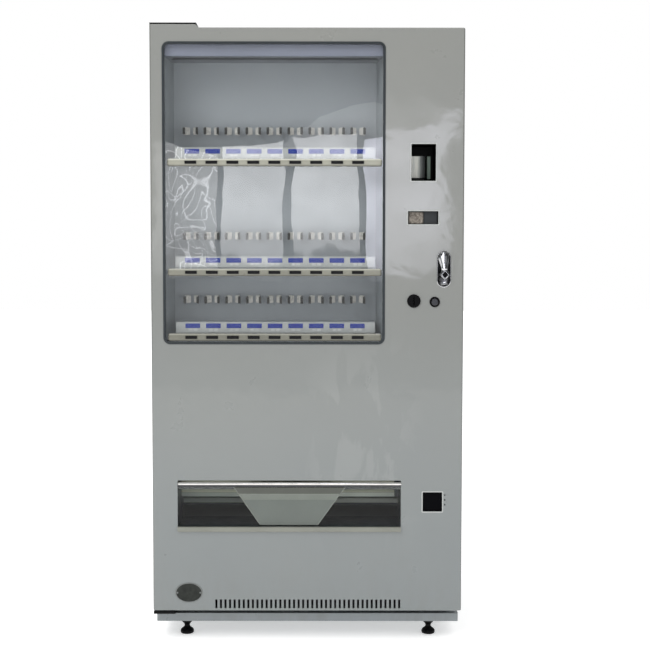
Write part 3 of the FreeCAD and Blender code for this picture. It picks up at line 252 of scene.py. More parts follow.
zinc_steel = simple("zinc_steel", (0.50, 0.51, 0.52), rough=0.34, rvar=0.08, metal=1.0, tint=0.08, tint_scale=16.0, grain=0.06, grain_scale=60.0, bumps=((90.0, 0.00005, 3.0),), dirt=0.15, dirt_col=(0.2, 0.2, 0.19))
ivory_frame = simple("ivory_frame", (0.300, 0.300, 0.252), rough=0.38, rvar=0.08, coat=0.15, tint=0.06, tint_scale=8.0, grain=0.03, bumps=((380.0, 0.00005, 2.0),), dirt=0.22, dirt_col=(0.14, 0.13, 0.10))


def chrome(name, base=(0.72, 0.72, 0.73), rough=0.05, stretch=(1, 1, 1), scratch=0.000002):
    m, nt, bs, out = new_mat(name)
    co = obj_co(nt)
    haze = noise(nt, co, 45.0, 4.0, 0.6)
    nt.links.new(mixc(nt, remap(nt, haze, 0.35, 0.7), base, sc(base, 0.82)), bs.inputs["Base Color"])
    bs.inputs["Metallic"].default_value = 1.0
    fine = noise(nt, scaled(nt, co, stretch), 600.0, 3.0, 0.7)
    nt.links.new(remap(nt, mth(nt, "ADD", haze, mth(nt, "MULTIPLY", fine, 0.4)), 0.5, 1.0, rough, rough + 0.13), bs.inputs["Roughness"])
    bump(nt, bs, fine, scratch)
    return m


bright_chrome = chrome("bright_chrome")
rail_chrome = chrome("rail_chrome", (0.78, 0.77, 0.74), 0.09, (0.02, 1, 1), 0.000004)
# one spring steel as a lit copy and a shaded copy: painted highlight and painted shade on the clips
spring_chrome = simple("spring_chrome", (0.72, 0.69, 0.64), rough=0.28, rvar=0.06, metal=0.25, tint=0.06, tint_scale=60.0, grain=0.05, grain_scale=500.0, bumps=((400.0, 0.000006, 2.0),))
spring_dark = simple("spring_dark", (0.050, 0.044, 0.038), rough=0.34, rvar=0.08, metal=0.5, tint=0.15, tint_scale=60.0, grain=0.08, bumps=((400.0, 0.000006, 2.0),))
dark_chrome = chrome("dark_chrome", (0.105, 0.105, 0.11), 0.12, (1, 1, 1), 0.000002)
# dark chrome for the flap rail: painted shade under the header strip
rail_shaded = chrome("rail_shaded", (0.10, 0.10, 0.105), 0.16, (0.02, 1, 1), 0.000004)


def liner_mat():
    m, nt, bs, co = surface("liner_grey", (0.315, 0.333, 0.350), rough=0.5, rvar=0.07, spec=0.4, tint=0.045, tint_scale=2.4, grain=0.025,
                            bumps=((3.0, 0.0012, 2.0), (520.0, 0.00005, 2.0)), dirt=0.10, dirt_col=(0.20, 0.205, 0.205))
    # the sloping side sheets are painted darker than the back panel: painted shade
    nz = nt.nodes.new("ShaderNodeTexCoord").outputs["Normal"]
    nx, ny, nzz = axes(nt, nz)
    old = bs.inputs["Base Color"].links[0].from_socket
    nt.links.new(mixc(nt, remap(nt, mth(nt, "ABSOLUTE", nx), 0.5, 0.8, 0.0, 0.75), old, (0.225, 0.245, 0.255)), bs.inputs["Base Color"])
    return m


liner_grey = liner_mat()
strip_grey = simple("strip_plastic", (0.45, 0.455, 0.440), rough=0.33, rvar=0.07, coat=0.2, tint=0.05, tint_scale=9.0, grain=0.03, bumps=((300.0, 0.00004, 2.0),), dirt=0.15, dirt_col=(0.24, 0.235, 0.21), dirt_scale=26.0)


def rail_mat():
    m, nt, bs, co = surface("ivory_rail", (0.190, 0.188, 0.150), rough=0.34, rvar=0.08, coat=0.2, tint=0.09, tint_scale=11.0, grain=0.04,
                            bumps=((340.0, 0.00006, 2.0),), dirt=0.30, dirt_col=(0.12, 0.115, 0.09), dirt_scale=24.0)
    # painted light: upward faces get a painted highlight, downward faces painted shade, the top rail is painted
    # brighter and the lower rails darker as painted reflection, and the sideways-facing ends are darker
    nx, ny, nz = axes(nt, nt.nodes.new("ShaderNodeTexCoord").outputs["Normal"])
    old = bs.inputs["Base Color"].links[0].from_socket
    top_highlight = mixc(nt, remap(nt, nz, 0.15, 0.75), old, (0.40, 0.40, 0.345))
    low_ = mixc(nt, remap(nt, nz, -0.85, -0.12, 0.85, 0.0), top_highlight, (0.050, 0.048, 0.038))
    _, _, zz = axes(nt, co)
    rail_height_sheen = mixc(nt, remap(nt, zz, 0.95, 1.40), mixc(nt, 1.0, low_, (0.80, 0.80, 0.80), "MULTIPLY"), mixc(nt, 1.0, low_, (1.55, 1.56, 1.60), "MULTIPLY"))
    col = mixc(nt, remap(nt, mth(nt, "ABSOLUTE", nx), 0.2, 0.8, 0.0, 0.8), rail_height_sheen, (0.060, 0.058, 0.046))
    nt.links.new(col, bs.inputs["Base Color"])
    return m


ivory_rail = rail_mat()


def lamp_mat():
    """Lilac-grey front of the channel, painted darker behind it as shade, white glass tube."""
    m, nt, bs, co = surface("lamp_channel", (0.200, 0.212, 0.270), rough=0.42, tint=0.05, tint_scale=3.0, grain=0.03, bumps=((260.0, 0.00005, 2.0),), dirt=0.12, dirt_col=(0.10, 0.10, 0.12))
    x, y, z = axes(nt, co)
    lo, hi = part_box("lamp_unit")
    dy, dz = mth(nt, "SUBTRACT", y, F + 0.070), mth(nt, "SUBTRACT", z, lo.z + 0.021)
    rr = mth(nt, "SQRT", mth(nt, "ADD", mth(nt, "MULTIPLY", dy, dy), mth(nt, "MULTIPLY", dz, dz)))
    tube = remap(nt, rr, 0.0135, 0.0142, 1.0, 0.0)
    old = bs.inputs["Base Color"].links[0].from_socket
    # behind the valance the channel is painted darker: painted shade
    valance_shade = remap(nt, y, F + 0.030, F + 0.034)
    col = mixc(nt, valance_shade, old, (0.135, 0.145, 0.158))
    nt.links.new(mixc(nt, tube, col, (0.72, 0.73, 0.72)), bs.inputs["Base Color"])
    return m


lamp = lamp_mat()


def bill_mat():
    """Black housing, worn beige zinc guide block and strip, grey foot; guide and recess painted darker to the right as
    shade.
    """
    m, nt, bs, co = surface("bill_parts", (0.003, 0.0032, 0.0032), rough=0.45, rvar=0.08, spec=0.12, tint=0.1, grain=0.1, bumps=((320.0, 0.00006, 2.0),))
    x, y, z = axes(nt, co)
    lo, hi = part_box("bill_acceptor")
    L = lo.x + 0.0025
    Z = lo.z + 0.0025
    old = bs.inputs["Base Color"].links[0].from_socket
    inside = remap(nt, y, F + 0.0125, F + 0.014)
    low = remap(nt, z, Z + 0.0745, Z + 0.078, 1.0, 0.0)
    guide = mth(nt, "MULTIPLY", mth(nt, "MULTIPLY", between(nt, x, L + 0.0013, L + 0.0292, 0.0012), inside), mth(nt, "MULTIPLY", low, remap(nt, z, Z + 0.0106, Z + 0.0112)))
    strip = mth(nt, "MULTIPLY", mth(nt, "MULTIPLY", between(nt, x, L + 0.0498, L + 0.0602), inside), mth(nt, "MULTIPLY", low, remap(nt, z, Z + 0.0086, Z + 0.0092)))
    foot = mth(nt, "MULTIPLY", mth(nt, "MULTIPLY", between(nt, x, L - 0.001, L + 0.0362), inside), remap(nt, z, Z + 0.0079, Z + 0.0084, 1.0, 0.0))
    wear = noise(nt, scaled(nt, co, (1, 1, 0.15)), 180.0, 4.0, 0.6)
    beige = mixc(nt, remap(nt, wear, 0.3, 0.7), (0.72, 0.72, 0.66), (0.52, 0.54, 0.52))
    # the guide fades darker to the right: painted shade as it curves away
    beige = mixc(nt, remap(nt, x, L + 0.0185, L + 0.0290, 0.0, 1.0, True), beige, (0.32, 0.34, 0.33))
    # the recess between guide and strip: painted shade, grey at the left fading dark to the right
    mid = mth(nt, "MULTIPLY", mth(nt, "MULTIPLY", between(nt, x, L + 0.0292, L + 0.0498), remap(nt, y, F + 0.1, F + 0.102)), low)
    col = mixc(nt, mid, old, mixc(nt, remap(nt, x, L + 0.0292, L + 0.0470, 0.0, 1.0, True), (0.24, 0.26, 0.26), (0.022, 0.028, 0.032)))
    col = mixc(nt, guide, col, beige)
    col = mixc(nt, strip, col, (0.13, 0.17, 0.145))
    col = mixc(nt, foot, col, (0.20, 0.20, 0.21))
    nt.links.new(col, bs.inputs["Base Color"])
    return m


def display_mat():
    """Smoked lens: brownish where the old numerals' mask shows, dark elsewhere."""
    m, nt, bs, co = surface("display_lens", (0.008, 0.009, 0.010), rough=0.38, rvar=0.06, spec=0.15, tint=0.1, grain=0.1, bumps=((300.0, 0.00004, 2.0),))
    x, y, z = axes(nt, co)
    lo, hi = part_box("credit_display")
    old = bs.inputs["Base Color"].links[0].from_socket
    lens = mth(nt, "MULTIPLY", between(nt, y, F + 0.0115, F + 0.0135), mth(nt, "MULTIPLY", between(nt, x, lo.x + 0.009, lo.x + 0.050, 0.003), between(nt, z, lo.z + 0.008, hi.z - 0.008, 0.002)))
    mott = noise(nt, co, 150.0, 4.0, 0.7)
    brown = mixc(nt, remap(nt, mott, 0.35, 0.65), (0.085, 0.072, 0.060), (0.325, 0.290, 0.250))
    right = mth(nt, "MULTIPLY", between(nt, y, F + 0.0115, F + 0.0135), between(nt, x, lo.x + 0.054, hi.x - 0.009, 0.002))
    col = mixc(nt, right, old, (0.036, 0.039, 0.042))
    nt.links.new(mixc(nt, lens, col, brown), bs.inputs["Base Color"])
    return m


def pane_mat(name, ior, tint, warp, haze, rough=0.0):
    """Clear sheet: mirrors a little of what is before it and lets the rest through, with the slow waves of drawn plastic."""
    m = bpy.data.materials.new(name)
    m.use_nodes = True
    nt = m.node_tree
    nt.nodes.clear()
    out = nt.nodes.new("ShaderNodeOutputMaterial")
    co = obj_co(nt)
    x, y, z = axes(nt, co)
    clear = nt.nodes.new("ShaderNodeBsdfTransparent")
    clear.inputs["Color"].default_value = (*tint, 1.0)
    gloss = nt.nodes.new("ShaderNodeBsdfAnisotropic")
    gloss.inputs["Color"].default_value = (1.0, 1.0, 1.0, 1.0)
    gloss.inputs["Roughness"].default_value = rough
    n1 = bump(nt, None, noise(nt, scaled(nt, co, (1.6, 1.0, 1.0)), 2.3, 1.5, 0.35, 0.5), warp, 1.0)
    n2 = bump(nt, None, noise(nt, co, 11.0, 2.0, 0.4), warp * 0.06, 1.0, n1)
    nt.links.new(n2, gloss.inputs["Normal"])
    fr = nt.nodes.new("ShaderNodeFresnel")
    fr.inputs["IOR"].default_value = ior
    mix = nt.nodes.new("ShaderNodeMixShader")
    facing = mth(nt, "SUBTRACT", 1.0, nt.nodes.new("ShaderNodeNewGeometry").outputs["Backfacing"])
    nt.links.new(mth(nt, "MULTIPLY", fr.outputs[0], facing), mix.inputs[0])
    nt.links.new(clear.outputs[0], mix.inputs[1])
    nt.links.new(gloss.outputs[0], mix.inputs[2])
    dust = nt.nodes.new("ShaderNodeBsdfDiffuse")
    dust.inputs["Color"].default_value = (0.75, 0.76, 0.76, 1.0)
    dm = nt.nodes.new("ShaderNodeMixShader")
    nt.links.new(remap(nt, noise(nt, co, 7.0, 6.0, 0.7), 0.40, 0.80, haze * 0.3, haze), dm.inputs[0])
    nt.links.new(mix.outputs[0], dm.inputs[1])
    nt.links.new(dust.outputs[0], dm.inputs[2])
    nt.links.new(dm.outputs[0], out.inputs["Surface"])
    return m


window_clear = pane_mat("window_clear", 1.90, (0.965, 0.975, 0.978), 0.0013, 0.02)
flap_clear = pane_mat("flap_clear", 1.26, (0.93, 0.945, 0.93), 0.0006, 0.005)


def card_mat():
    """Printed card ink: blue, slightly uneven; the pale tabs below take card_pale."""
    m, nt, bs, co = surface("card_ink", (0.003, 0.014, 0.265), rough=0.42, rvar=0.06, spec=0.2, tint=0.12, tint_scale=40.0, grain=0.10, grain_scale=500.0, base2=(0.006, 0.036, 0.28))
    return m


card_blue = card_mat()
card_pale = simple("card_pale", (0.62, 0.625, 0.61), rough=0.35, tint=0.08, tint_scale=60.0, grain=0.05, grain_scale=500.0)


def plate_mat():
    m, nt, bs, co = surface("oval_plate", (0.022, 0.026, 0.021), rough=0.48, rvar=0.12, metal=0.4, tint=0.25, tint_scale=60.0, grain=0.18, grain_scale=110.0,
                            bumps=((120.0, 0.00025, 3.0),), dirt=0.5, dirt_col=(0.012, 0.014, 0.011), dirt_scale=70.0)
    return m


oval_plate = plate_mat()
oval_rim = simple("oval_rim", (0.19, 0.20, 0.195), rough=0.36, metal=0.4, tint=0.08, grain=0.05, bumps=((300.0, 0.00005, 2.0),))
sign_silver = simple("sign_silver", (0.105, 0.121, 0.108), rough=0.36, rvar=0.06, metal=0.15, coat=0.25, tint=0.05, tint_scale=10.0, grain=0.04, grain_scale=400.0, bumps=((260.0, 0.00003, 2.0),))
sign_mid = simple("sign_mid", (0.135, 0.152, 0.130), rough=0.36, rvar=0.06, coat=0.25, tint=0.06, tint_scale=14.0, grain=0.04, grain_scale=400.0)
sign_edge = simple("sign_edge", (0.20, 0.215, 0.19), rough=0.30, metal=0.1, coat=0.3, tint=0.04, grain=0.03)


def frame_mat():
    """Pick-up frame: ivory outside, ribbed baffle behind the flap with its lower strip painted darker to the left as
    shade, dark bin below and behind.
    """
    m, nt, bs, co = surface("pickup_frame_plastic", (0.200, 0.206, 0.176), rough=0.38, rvar=0.08, coat=0.12, tint=0.06, tint_scale=8.0, grain=0.03,
                            bumps=((380.0, 0.00005, 2.0),), dirt=0.25, dirt_col=(0.16, 0.15, 0.12))
    x, y, z = axes(nt, co)
    old = bs.inputs["Base Color"].links[0].from_socket
    inside = remap(nt, y, F + 0.0028, F + 0.0034)
    dark = mixc(nt, remap(nt, noise(nt, scaled(nt, co, (0.25, 1, 1.6)), 70.0, 5.0, 0.6), 0.35, 0.7), (0.0055, 0.0085, 0.0135), (0.022, 0.032, 0.044))
    col = mixc(nt, inside, old, dark)
    baffle = mth(nt, "MULTIPLY", between(nt, y, F + 0.0985, F + 0.104), between(nt, x, -0.3880, 0.2660))
    upper = mth(nt, "MULTIPLY", baffle, remap(nt, z, 0.4355, 0.4365))
    lower = mth(nt, "MULTIPLY", baffle, between(nt, z, 0.4235, 0.4355))
    ribs = remap(nt, mth(nt, "SINE", mth(nt, "MULTIPLY", z, 620.0)), -0.2, 0.9)
    beige = mixc(nt, ribs, (0.26, 0.265, 0.20), (0.36, 0.355, 0.275))
    col = mixc(nt, upper, col, beige)
    # the lower baffle strip is painted darker to the left: painted shade
    baffle_shading = mixc(nt, remap(nt, x, -0.33, 0.10, 0.0, 1.0, True), (0.25, 0.28, 0.255), (0.43, 0.45, 0.42))
    col = mixc(nt, lower, col, baffle_shading)
    nt.links.new(col, bs.inputs["Base Color"])
    return m


pickup_plastic = frame_mat()
cooling_metal = simple("cooling_metal", (0.30, 0.31, 0.32), rough=0.42, metal=0.8, tint=0.12, tint_scale=12.0, grain=0.08, bumps=((80.0, 0.0001, 3.0),), dirt=0.3, dirt_col=(0.1, 0.095, 0.085))



def chute_mat():
    """Trough painted dark bluish as shade inside the cabinet, its front lip painted lighter as the lit part and darker
    toward the left as shade.
    """
    m, nt, bs, co = surface("chute_sheet", (0.030, 0.038, 0.046), rough=0.48, rvar=0.1, spec=0.25, tint=0.12, tint_scale=9.0, grain=0.08, bumps=((200.0, 0.00005, 2.0),), dirt=0.3, dirt_col=(0.07, 0.07, 0.065))
    x, y, z = axes(nt, co)
    old = bs.inputs["Base Color"].links[0].from_socket
    lip = mth(nt, "MULTIPLY", remap(nt, y, -0.188, -0.184, 1.0, 0.0), remap(nt, z, 0.3895, 0.3915))
    # the lip is painted lighter toward the right: painted shade falling off across the cavity
    worn = mixc(nt, remap(nt, x, -0.33, 0.10, 0.0, 1.0, True), (0.24, 0.27, 0.25), (0.44, 0.46, 0.43))
    nt.links.new(mixc(nt, lip, old, worn), bs.inputs["Base Color"])
    return m


chute_shaded = chute_mat()

LOOK = {
    "door_skin": door_paint, "door_back_cover": inner_steel, "door_seal": black_rubber, "window_gasket": gasket, "window_pane": window_clear,
    "display_liner": liner_grey, "price_cards": card_blue, "lamp_unit": lamp, "sample_clips": spring_chrome, "selection_rails": ivory_rail,
    "bill_acceptor": bill_mat(), "credit_display": display_mat(), "coin_bezels": black_gloss, "coin_mechanism": mech_plastic,
    "return_button": dark_chrome, "coin_return_cup": black_plastic, "coin_return_flap": black_plastic, "handle_dish": bright_chrome,
    "handle_lever": bright_chrome, "handle_spindle": zinc_steel, "lock_plug": black_gloss, "pickup_frame": pickup_plastic,
    "pickup_flap": flap_clear, "nameplate": oval_plate, "cabinet_shell": side_paint, "rear_grille": inner_steel, "base_frame": base_paint,
    "levelling_feet": black_metal, "hinge_brackets": black_metal, "product_rack": zinc_steel, "delivery_chute": chute_shaded,
    "cooling_unit": cooling_metal, "condenser_fan": black_plastic,
}
for n, o in nodes.items():
    m = button_black if n.startswith("button_") else LOOK[n]
    if not o.material_slots:
        o.data.materials.append(m)
    for s in o.material_slots:
        s.material = m


# ---------------------------------------------------------------- mesh helpers
def make(name, bm, mats, body, angle=35.0, bevel=0.0, segs=3):
    bmesh.ops.recalc_face_normals(bm, faces=bm.faces)
    me = bpy.data.meshes.new(name)
    bm.to_mesh(me)
    bm.free()
    for m in mats:
        me.materials.append(m)
    me.shade_smooth()
    me.set_sharp_from_angle(angle=math.radians(angle))
    ob = bpy.data.objects.new(name, me)
    scene.collection.objects.link(ob)
    if bevel:
        b = ob.modifiers.new("edge", "BEVEL")
        b.width, b.segments, b.limit_method, b.angle_limit = bevel, segs, "ANGLE", math.radians(40)
        b.harden_normals = True
    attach(ob, body)
    return ob


def prism(bm, outline, y0, y1, mi=0):
    """Closed plate: outline of (x, z) points, from y0 in front to y1 behind."""
    a = [bm.verts.new((x, y0, z)) for x, z in outline]
    b = [bm.verts.new((x, y1, z)) for x, z in outline]
    k = len(outline)
    fs = [bm.faces.new(a), bm.faces.new(b[::-1])]
    fs += [bm.faces.new((a[i], b[i], b[(i + 1) % k], a[(i + 1) % k])) for i in range(k)]
    for f in fs:
        f.material_index = mi
    return fs


def rounded(x0, x1, z0, z1, r, n=6):
    pts = []
    for cx, cz, a0 in ((x1 - r, z1 - r, 0), (x0 + r, z1 - r, 90), (x0 + r, z0 + r, 180), (x1 - r, z0 + r, 270)):
        for k in range(n + 1):
            t = math.radians(a0 + 90 * k / n)
            pts.append((cx + r * math.cos(t), cz + r * math.sin(t)))
    return pts


def ring_frame(bm, outer, inner, prof, mi=0):
    """Frame between two outlines of equal count. prof is a list of (t, y): t 0 at the outer line, 1 at the inner."""
    k = len(outer)
    rows = []
    for t, y in prof:
        rows.append([bm.verts.new((ox + (ix - ox) * t, y, oz + (iz - oz) * t)) for (ox, oz), (ix, iz) in zip(outer, inner)])
    for a, b in zip(rows, rows[1:] + rows[:1]):
        for i in range(k):
            f = bm.faces.new((a[i], a[(i + 1) % k], b[(i + 1) % k], b[i]))
            f.material_index = mi


def lathe(bm, centre, axis, prof, seg=40, mi=0):
    """Turned form: prof is (radius, height along axis) from one end to the other, closed at its ends."""
    c, w = Vector(centre), Vector(axis).normalized()
    u = w.orthogonal().normalized()
    v = w.cross(u)
    rows = []
    for r, h in prof:
        if r < 1e-7:
            rows.append([bm.verts.new(c + w * h)])
        else:
            rows.append([bm.verts.new(c + w * h + (u * math.cos(2 * math.pi * k / seg) + v * math.sin(2 * math.pi * k / seg)) * r) for k in range(seg)])
    for a, b in zip(rows, rows[1:]):
        for k in range(seg):
            q = [a[k % len(a)], a[(k + 1) % len(a)], b[(k + 1) % len(b)], b[k % len(b)]]
            q2 = []
            for p in q:
                if p not in q2:
                    q2.append(p)
            if len(q2) > 2:
                f = bm.faces.new(q2)
                f.material_index = mi
    for row in (rows[0], rows[-1]):
        if len(row) > 1:
            f = bm.faces.new(row)
            f.material_index = mi


# ---------------------------------------------------------------- pick-up flap: chrome rail, clear panel, silver sign plate
plo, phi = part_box("pickup_flap")
rx0, rx1 = plo.x, phi.x
rail_z = phi.z - 0.0063
rail_y = F + 0.007
bm = bmesh.new()
prof = [(0.0, rx0), (0.0048, rx0 + 0.0002), (0.0061, rx0 + 0.0015), (0.0063, rx0 + 0.003), (0.0063, rx1 - 0.003), (0.0061, rx1 - 0.0015), (0.0048, rx1 - 0.0002), (0.0, rx1)]
lathe(bm, (0, rail_y, rail_z), (1, 0, 0), prof, 48)
# the rail's clamping lip that grips the panel
prism(bm, [(rx0 + 0.002, rail_z - 0.0135), (rx1 - 0.002, rail_z - 0.0135), (rx1 - 0.002, rail_z - 0.004), (rx0 + 0.002, rail_z - 0.004)], rail_y + 0.0024, rail_y + 0.0044)
# the flap rail wears dark chrome as painted shade under the header strip
flap_rail = make("flap_rail", bm, [rail_shaded], "bin_flap", bevel=0.0004)
# fixed chrome strip over the rail, rolled front, tucked ends
bm = bmesh.new()
hz0, hz1 = rail_z + 0.0010, rail_z + 0.0092
sec = []
for k in range(13):
    a = math.radians(-90 + 180 * k / 12)
    sec.append((F - 0.0006 - 0.0024 * math.cos(a), (hz0 + hz1) / 2 + (hz1 - hz0) / 2 * math.sin(a)))
sec += [(F + 0.0002, hz1 - 0.0002), (F + 0.0002, hz0 + 0.0002)]
ends = [(rx0 + 0.0030, 0.55), (rx0 + 0.0045, 0.90), (rx0 + 0.0065, 1.0), (rx1 - 0.0040, 1.0), (rx1 - 0.0020, 0.90), (rx1 - 0.0005, 0.55)]
zc_, yb_ = (hz0 + hz1) / 2, F + 0.0002
rows = [[bm.verts.new((x, yb_ + (y - yb_) * k, zc_ + (z - zc_) * k)) for y, z in sec] for x, k in ends]
for a, b in zip(rows, rows[1:]):
    for i in range(len(sec)):
        bm.faces.new((a[i], a[(i + 1) % len(sec)], b[(i + 1) % len(sec)], b[i]))
bm.faces.new(rows[0])
bm.faces.new(rows[-1][::-1])
make("flap_header", bm, [rail_chrome], "door", angle=50)

bm = bmesh.new()
prism(bm, rounded(rx0 + 0.001, rx1 - 0.001, plo.z, rail_z - 0.002, 0.004), rail_y - 0.0014, rail_y + 0.0016)
flap_panel = make("flap_panel", bm, [flap_clear], "bin_flap", bevel=0.0006)
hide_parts("pickup_flap")

sx = lambda z: ((z - 0.3545) / (0.467 - 0.3545))
sign_top, sign_low = rail_z - 0.0070, plo.z + 0.0012
TL, TR, BL, BR = -0.2190, 0.1120, -0.1390, 0.0290


def sign_outline(z0, z1, inset=0.0):
    def xl(z): return BL + (TL - BL) * (z - 0.3516) / (0.467 - 0.3516) + inset
    def xr(z): return BR + (TR - BR) * (z - 0.3516) / (0.467 - 0.3516) - inset
    return [(xl(z0), z0), (xr(z0), z0), (xr(z1), z1), (xl(z1), z1)]


bm = bmesh.new()
prism(bm, sign_outline(sign_low, 0.4320), rail_y - 0.0021, rail_y - 0.0014, 0)
prism(bm, sign_outline(0.4320, 0.4500), rail_y - 0.0021, rail_y - 0.0014, 3)
prism(bm, sign_outline(0.4500, sign_top), rail_y - 0.0021, rail_y - 0.0014, 1)
prism(bm, sign_outline(0.4490, 0.4502), rail_y - 0.0023, rail_y - 0.0020, 2)
sign_smoke = simple("sign_smoke", (0.058, 0.063, 0.050), rough=0.36, rvar=0.06, coat=0.25, tint=0.06, tint_scale=14.0, grain=0.04, grain_scale=400.0)
make("flap_sign", bm, [sign_silver, sign_smoke, sign_edge, sign_mid], "bin_flap", bevel=0.00025, segs=2)
# pale bevelled border down both slanted sides
bm = bmesh.new()
for side in (0, 1):
    z0, z1 = sign_low, sign_top
    a, b = sign_outline(z0, z1), sign_outline(z0, z1, 0.0022)
    if side == 0:
        pts = [a[0], b[0], b[3], a[3]]
    else:
        pts = [b[1], a[1], a[2], b[2]]
    prism(bm, pts, rail_y - 0.0025, rail_y - 0.0020)
make("flap_sign_border", bm, [sign_edge], "bin_flap", bevel=0.0002, segs=2)

# ---------------------------------------------------------------- sample clips: sprung fingers, flared at the mouth
clo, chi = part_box("sample_clips")
clip_y, R, T = F + 0.115, 0.0212, 0.0014
clip_x0, clip_p = -0.355, 0.0634
clip_z = [1.5405, 1.2225, 1.0285]
bm = bmesh.new()
for zc in clip_z:
    for i in range(9):
        xc = clip_x0 + clip_p * i
        for s in (-1, 1):
            path = []                                     # centre line in plan: angle from the back
            for k in range(19):
                a = math.radians(13 + (131 - 13) * k / 18)
                path.append((s * R * math.sin(a), R * math.cos(a), k / 18))
            ex, ey, _ = path[-1]
            for k in range(1, 5):                         # lip turned outward
                path.append((ex + s * (0.0002 * k + 0.00040 * k * k), ey - 0.0010 * k, 1.0 + 0.09 * k))
            rows = []
            for k, (px, py, t) in enumerate(path):
                q0, q1 = path[max(0, k - 1)], path[min(len(path) - 1, k + 1)]
                tx, ty = q1[0] - q0[0], q1[1] - q0[1]
                L = math.hypot(tx, ty)
                nx, ny = -ty / L * s, tx / L * s          # inward side of the spring
                h = 0.0124 * (0.84 + 0.16 * math.sin(math.pi * min(1.0, t))) * (1.0 - 0.12 * max(0.0, t - 0.8))
                tilt = 0.0022 * (0.5 - t)
                c = Vector((xc + px, clip_y + py, zc + tilt))
                n = Vector((nx, ny, 0)) * (T / 2)
                up = Vector((0, 0, h))
                rows.append([bm.verts.new(c + n + up), bm.verts.new(c - n + up), bm.verts.new(c - n - up), bm.verts.new(c + n - up)])
            for k, (a, b) in enumerate(zip(rows, rows[1:])):
                for q in range(4):
                    f = bm.faces.new((a[q], a[(q + 1) % 4], b[(q + 1) % 4], b[q]))
                    # painted light: the inner faces take the lit copy as a painted highlight, the outside and the lip
                    # take the shaded copy as painted shade
                    side_in = (q == 1)
                    f.material_index = 0 if (side_in and k < 15) else 1
            bm.faces.new(rows[0])
            bm.faces.new(rows[-1][::-1]).material_index = 1
            # foot from the spring to the back panel
            fx, fy = xc + s * R * math.sin(math.radians(34)), clip_y + R * math.cos(math.radians(34))
            prism(bm, rounded(fx - 0.0028, fx + 0.0028, zc - 0.0055, zc + 0.0055, 0.001, 2), fy, F + 0.1435)
clips = make("spring_clips", bm, [spring_chrome, spring_dark], "door", bevel=0.0003, segs=2, angle=50)
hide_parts("sample_clips")

# ---------------------------------------------------------------- price strips and cards
klo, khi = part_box("price_cards")
ledge = [1.4510, 1.1270, 0.9308]
face_y = F + 0.040
bm = bmesh.new()
bc = bmesh.new()
for L in ledge:
    x0, x1 = -0.3940, 0.2021
    prism(bm, rounded(x0, x1, L + 0.0006, L + 0.0326, 0.0012, 3), face_y - 0.0007, face_y - 0.0001)
    for z0, z1 in ((L + 0.0006, L + 0.0030), (L + 0.0306, L + 0.0326)):          # rolled lips that hold the cards
        prism(bm, rounded(x0 + 0.0005, x1 - 0.0005, z0, z1, 0.0009, 3), face_y - 0.0022, face_y - 0.0006)
    for i in range(9):
        cx, cz = -0.344 + 0.0617 * i, L + 0.0214
        prism(bc, rounded(cx - 0.022, cx + 0.022, cz - 0.0069, cz + 0.0069, 0.0009, 3), face_y - 0.0012, face_y - 0.0007, 0)
        for a, b in ((-0.012, -0.001), (0.002, 0.014)):                           # blank price tabs
            prism(bc, rounded(cx + a, cx + b, cz - 0.0152, cz - 0.0080, 0.0006, 2), face_y - 0.0011, face_y - 0.0007, 1)
make("price_strips", bm, [strip_grey], "door", bevel=0.0002, segs=2)
cards = make("ticket_cards", bc, [card_blue, card_pale], "door")
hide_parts("price_cards")

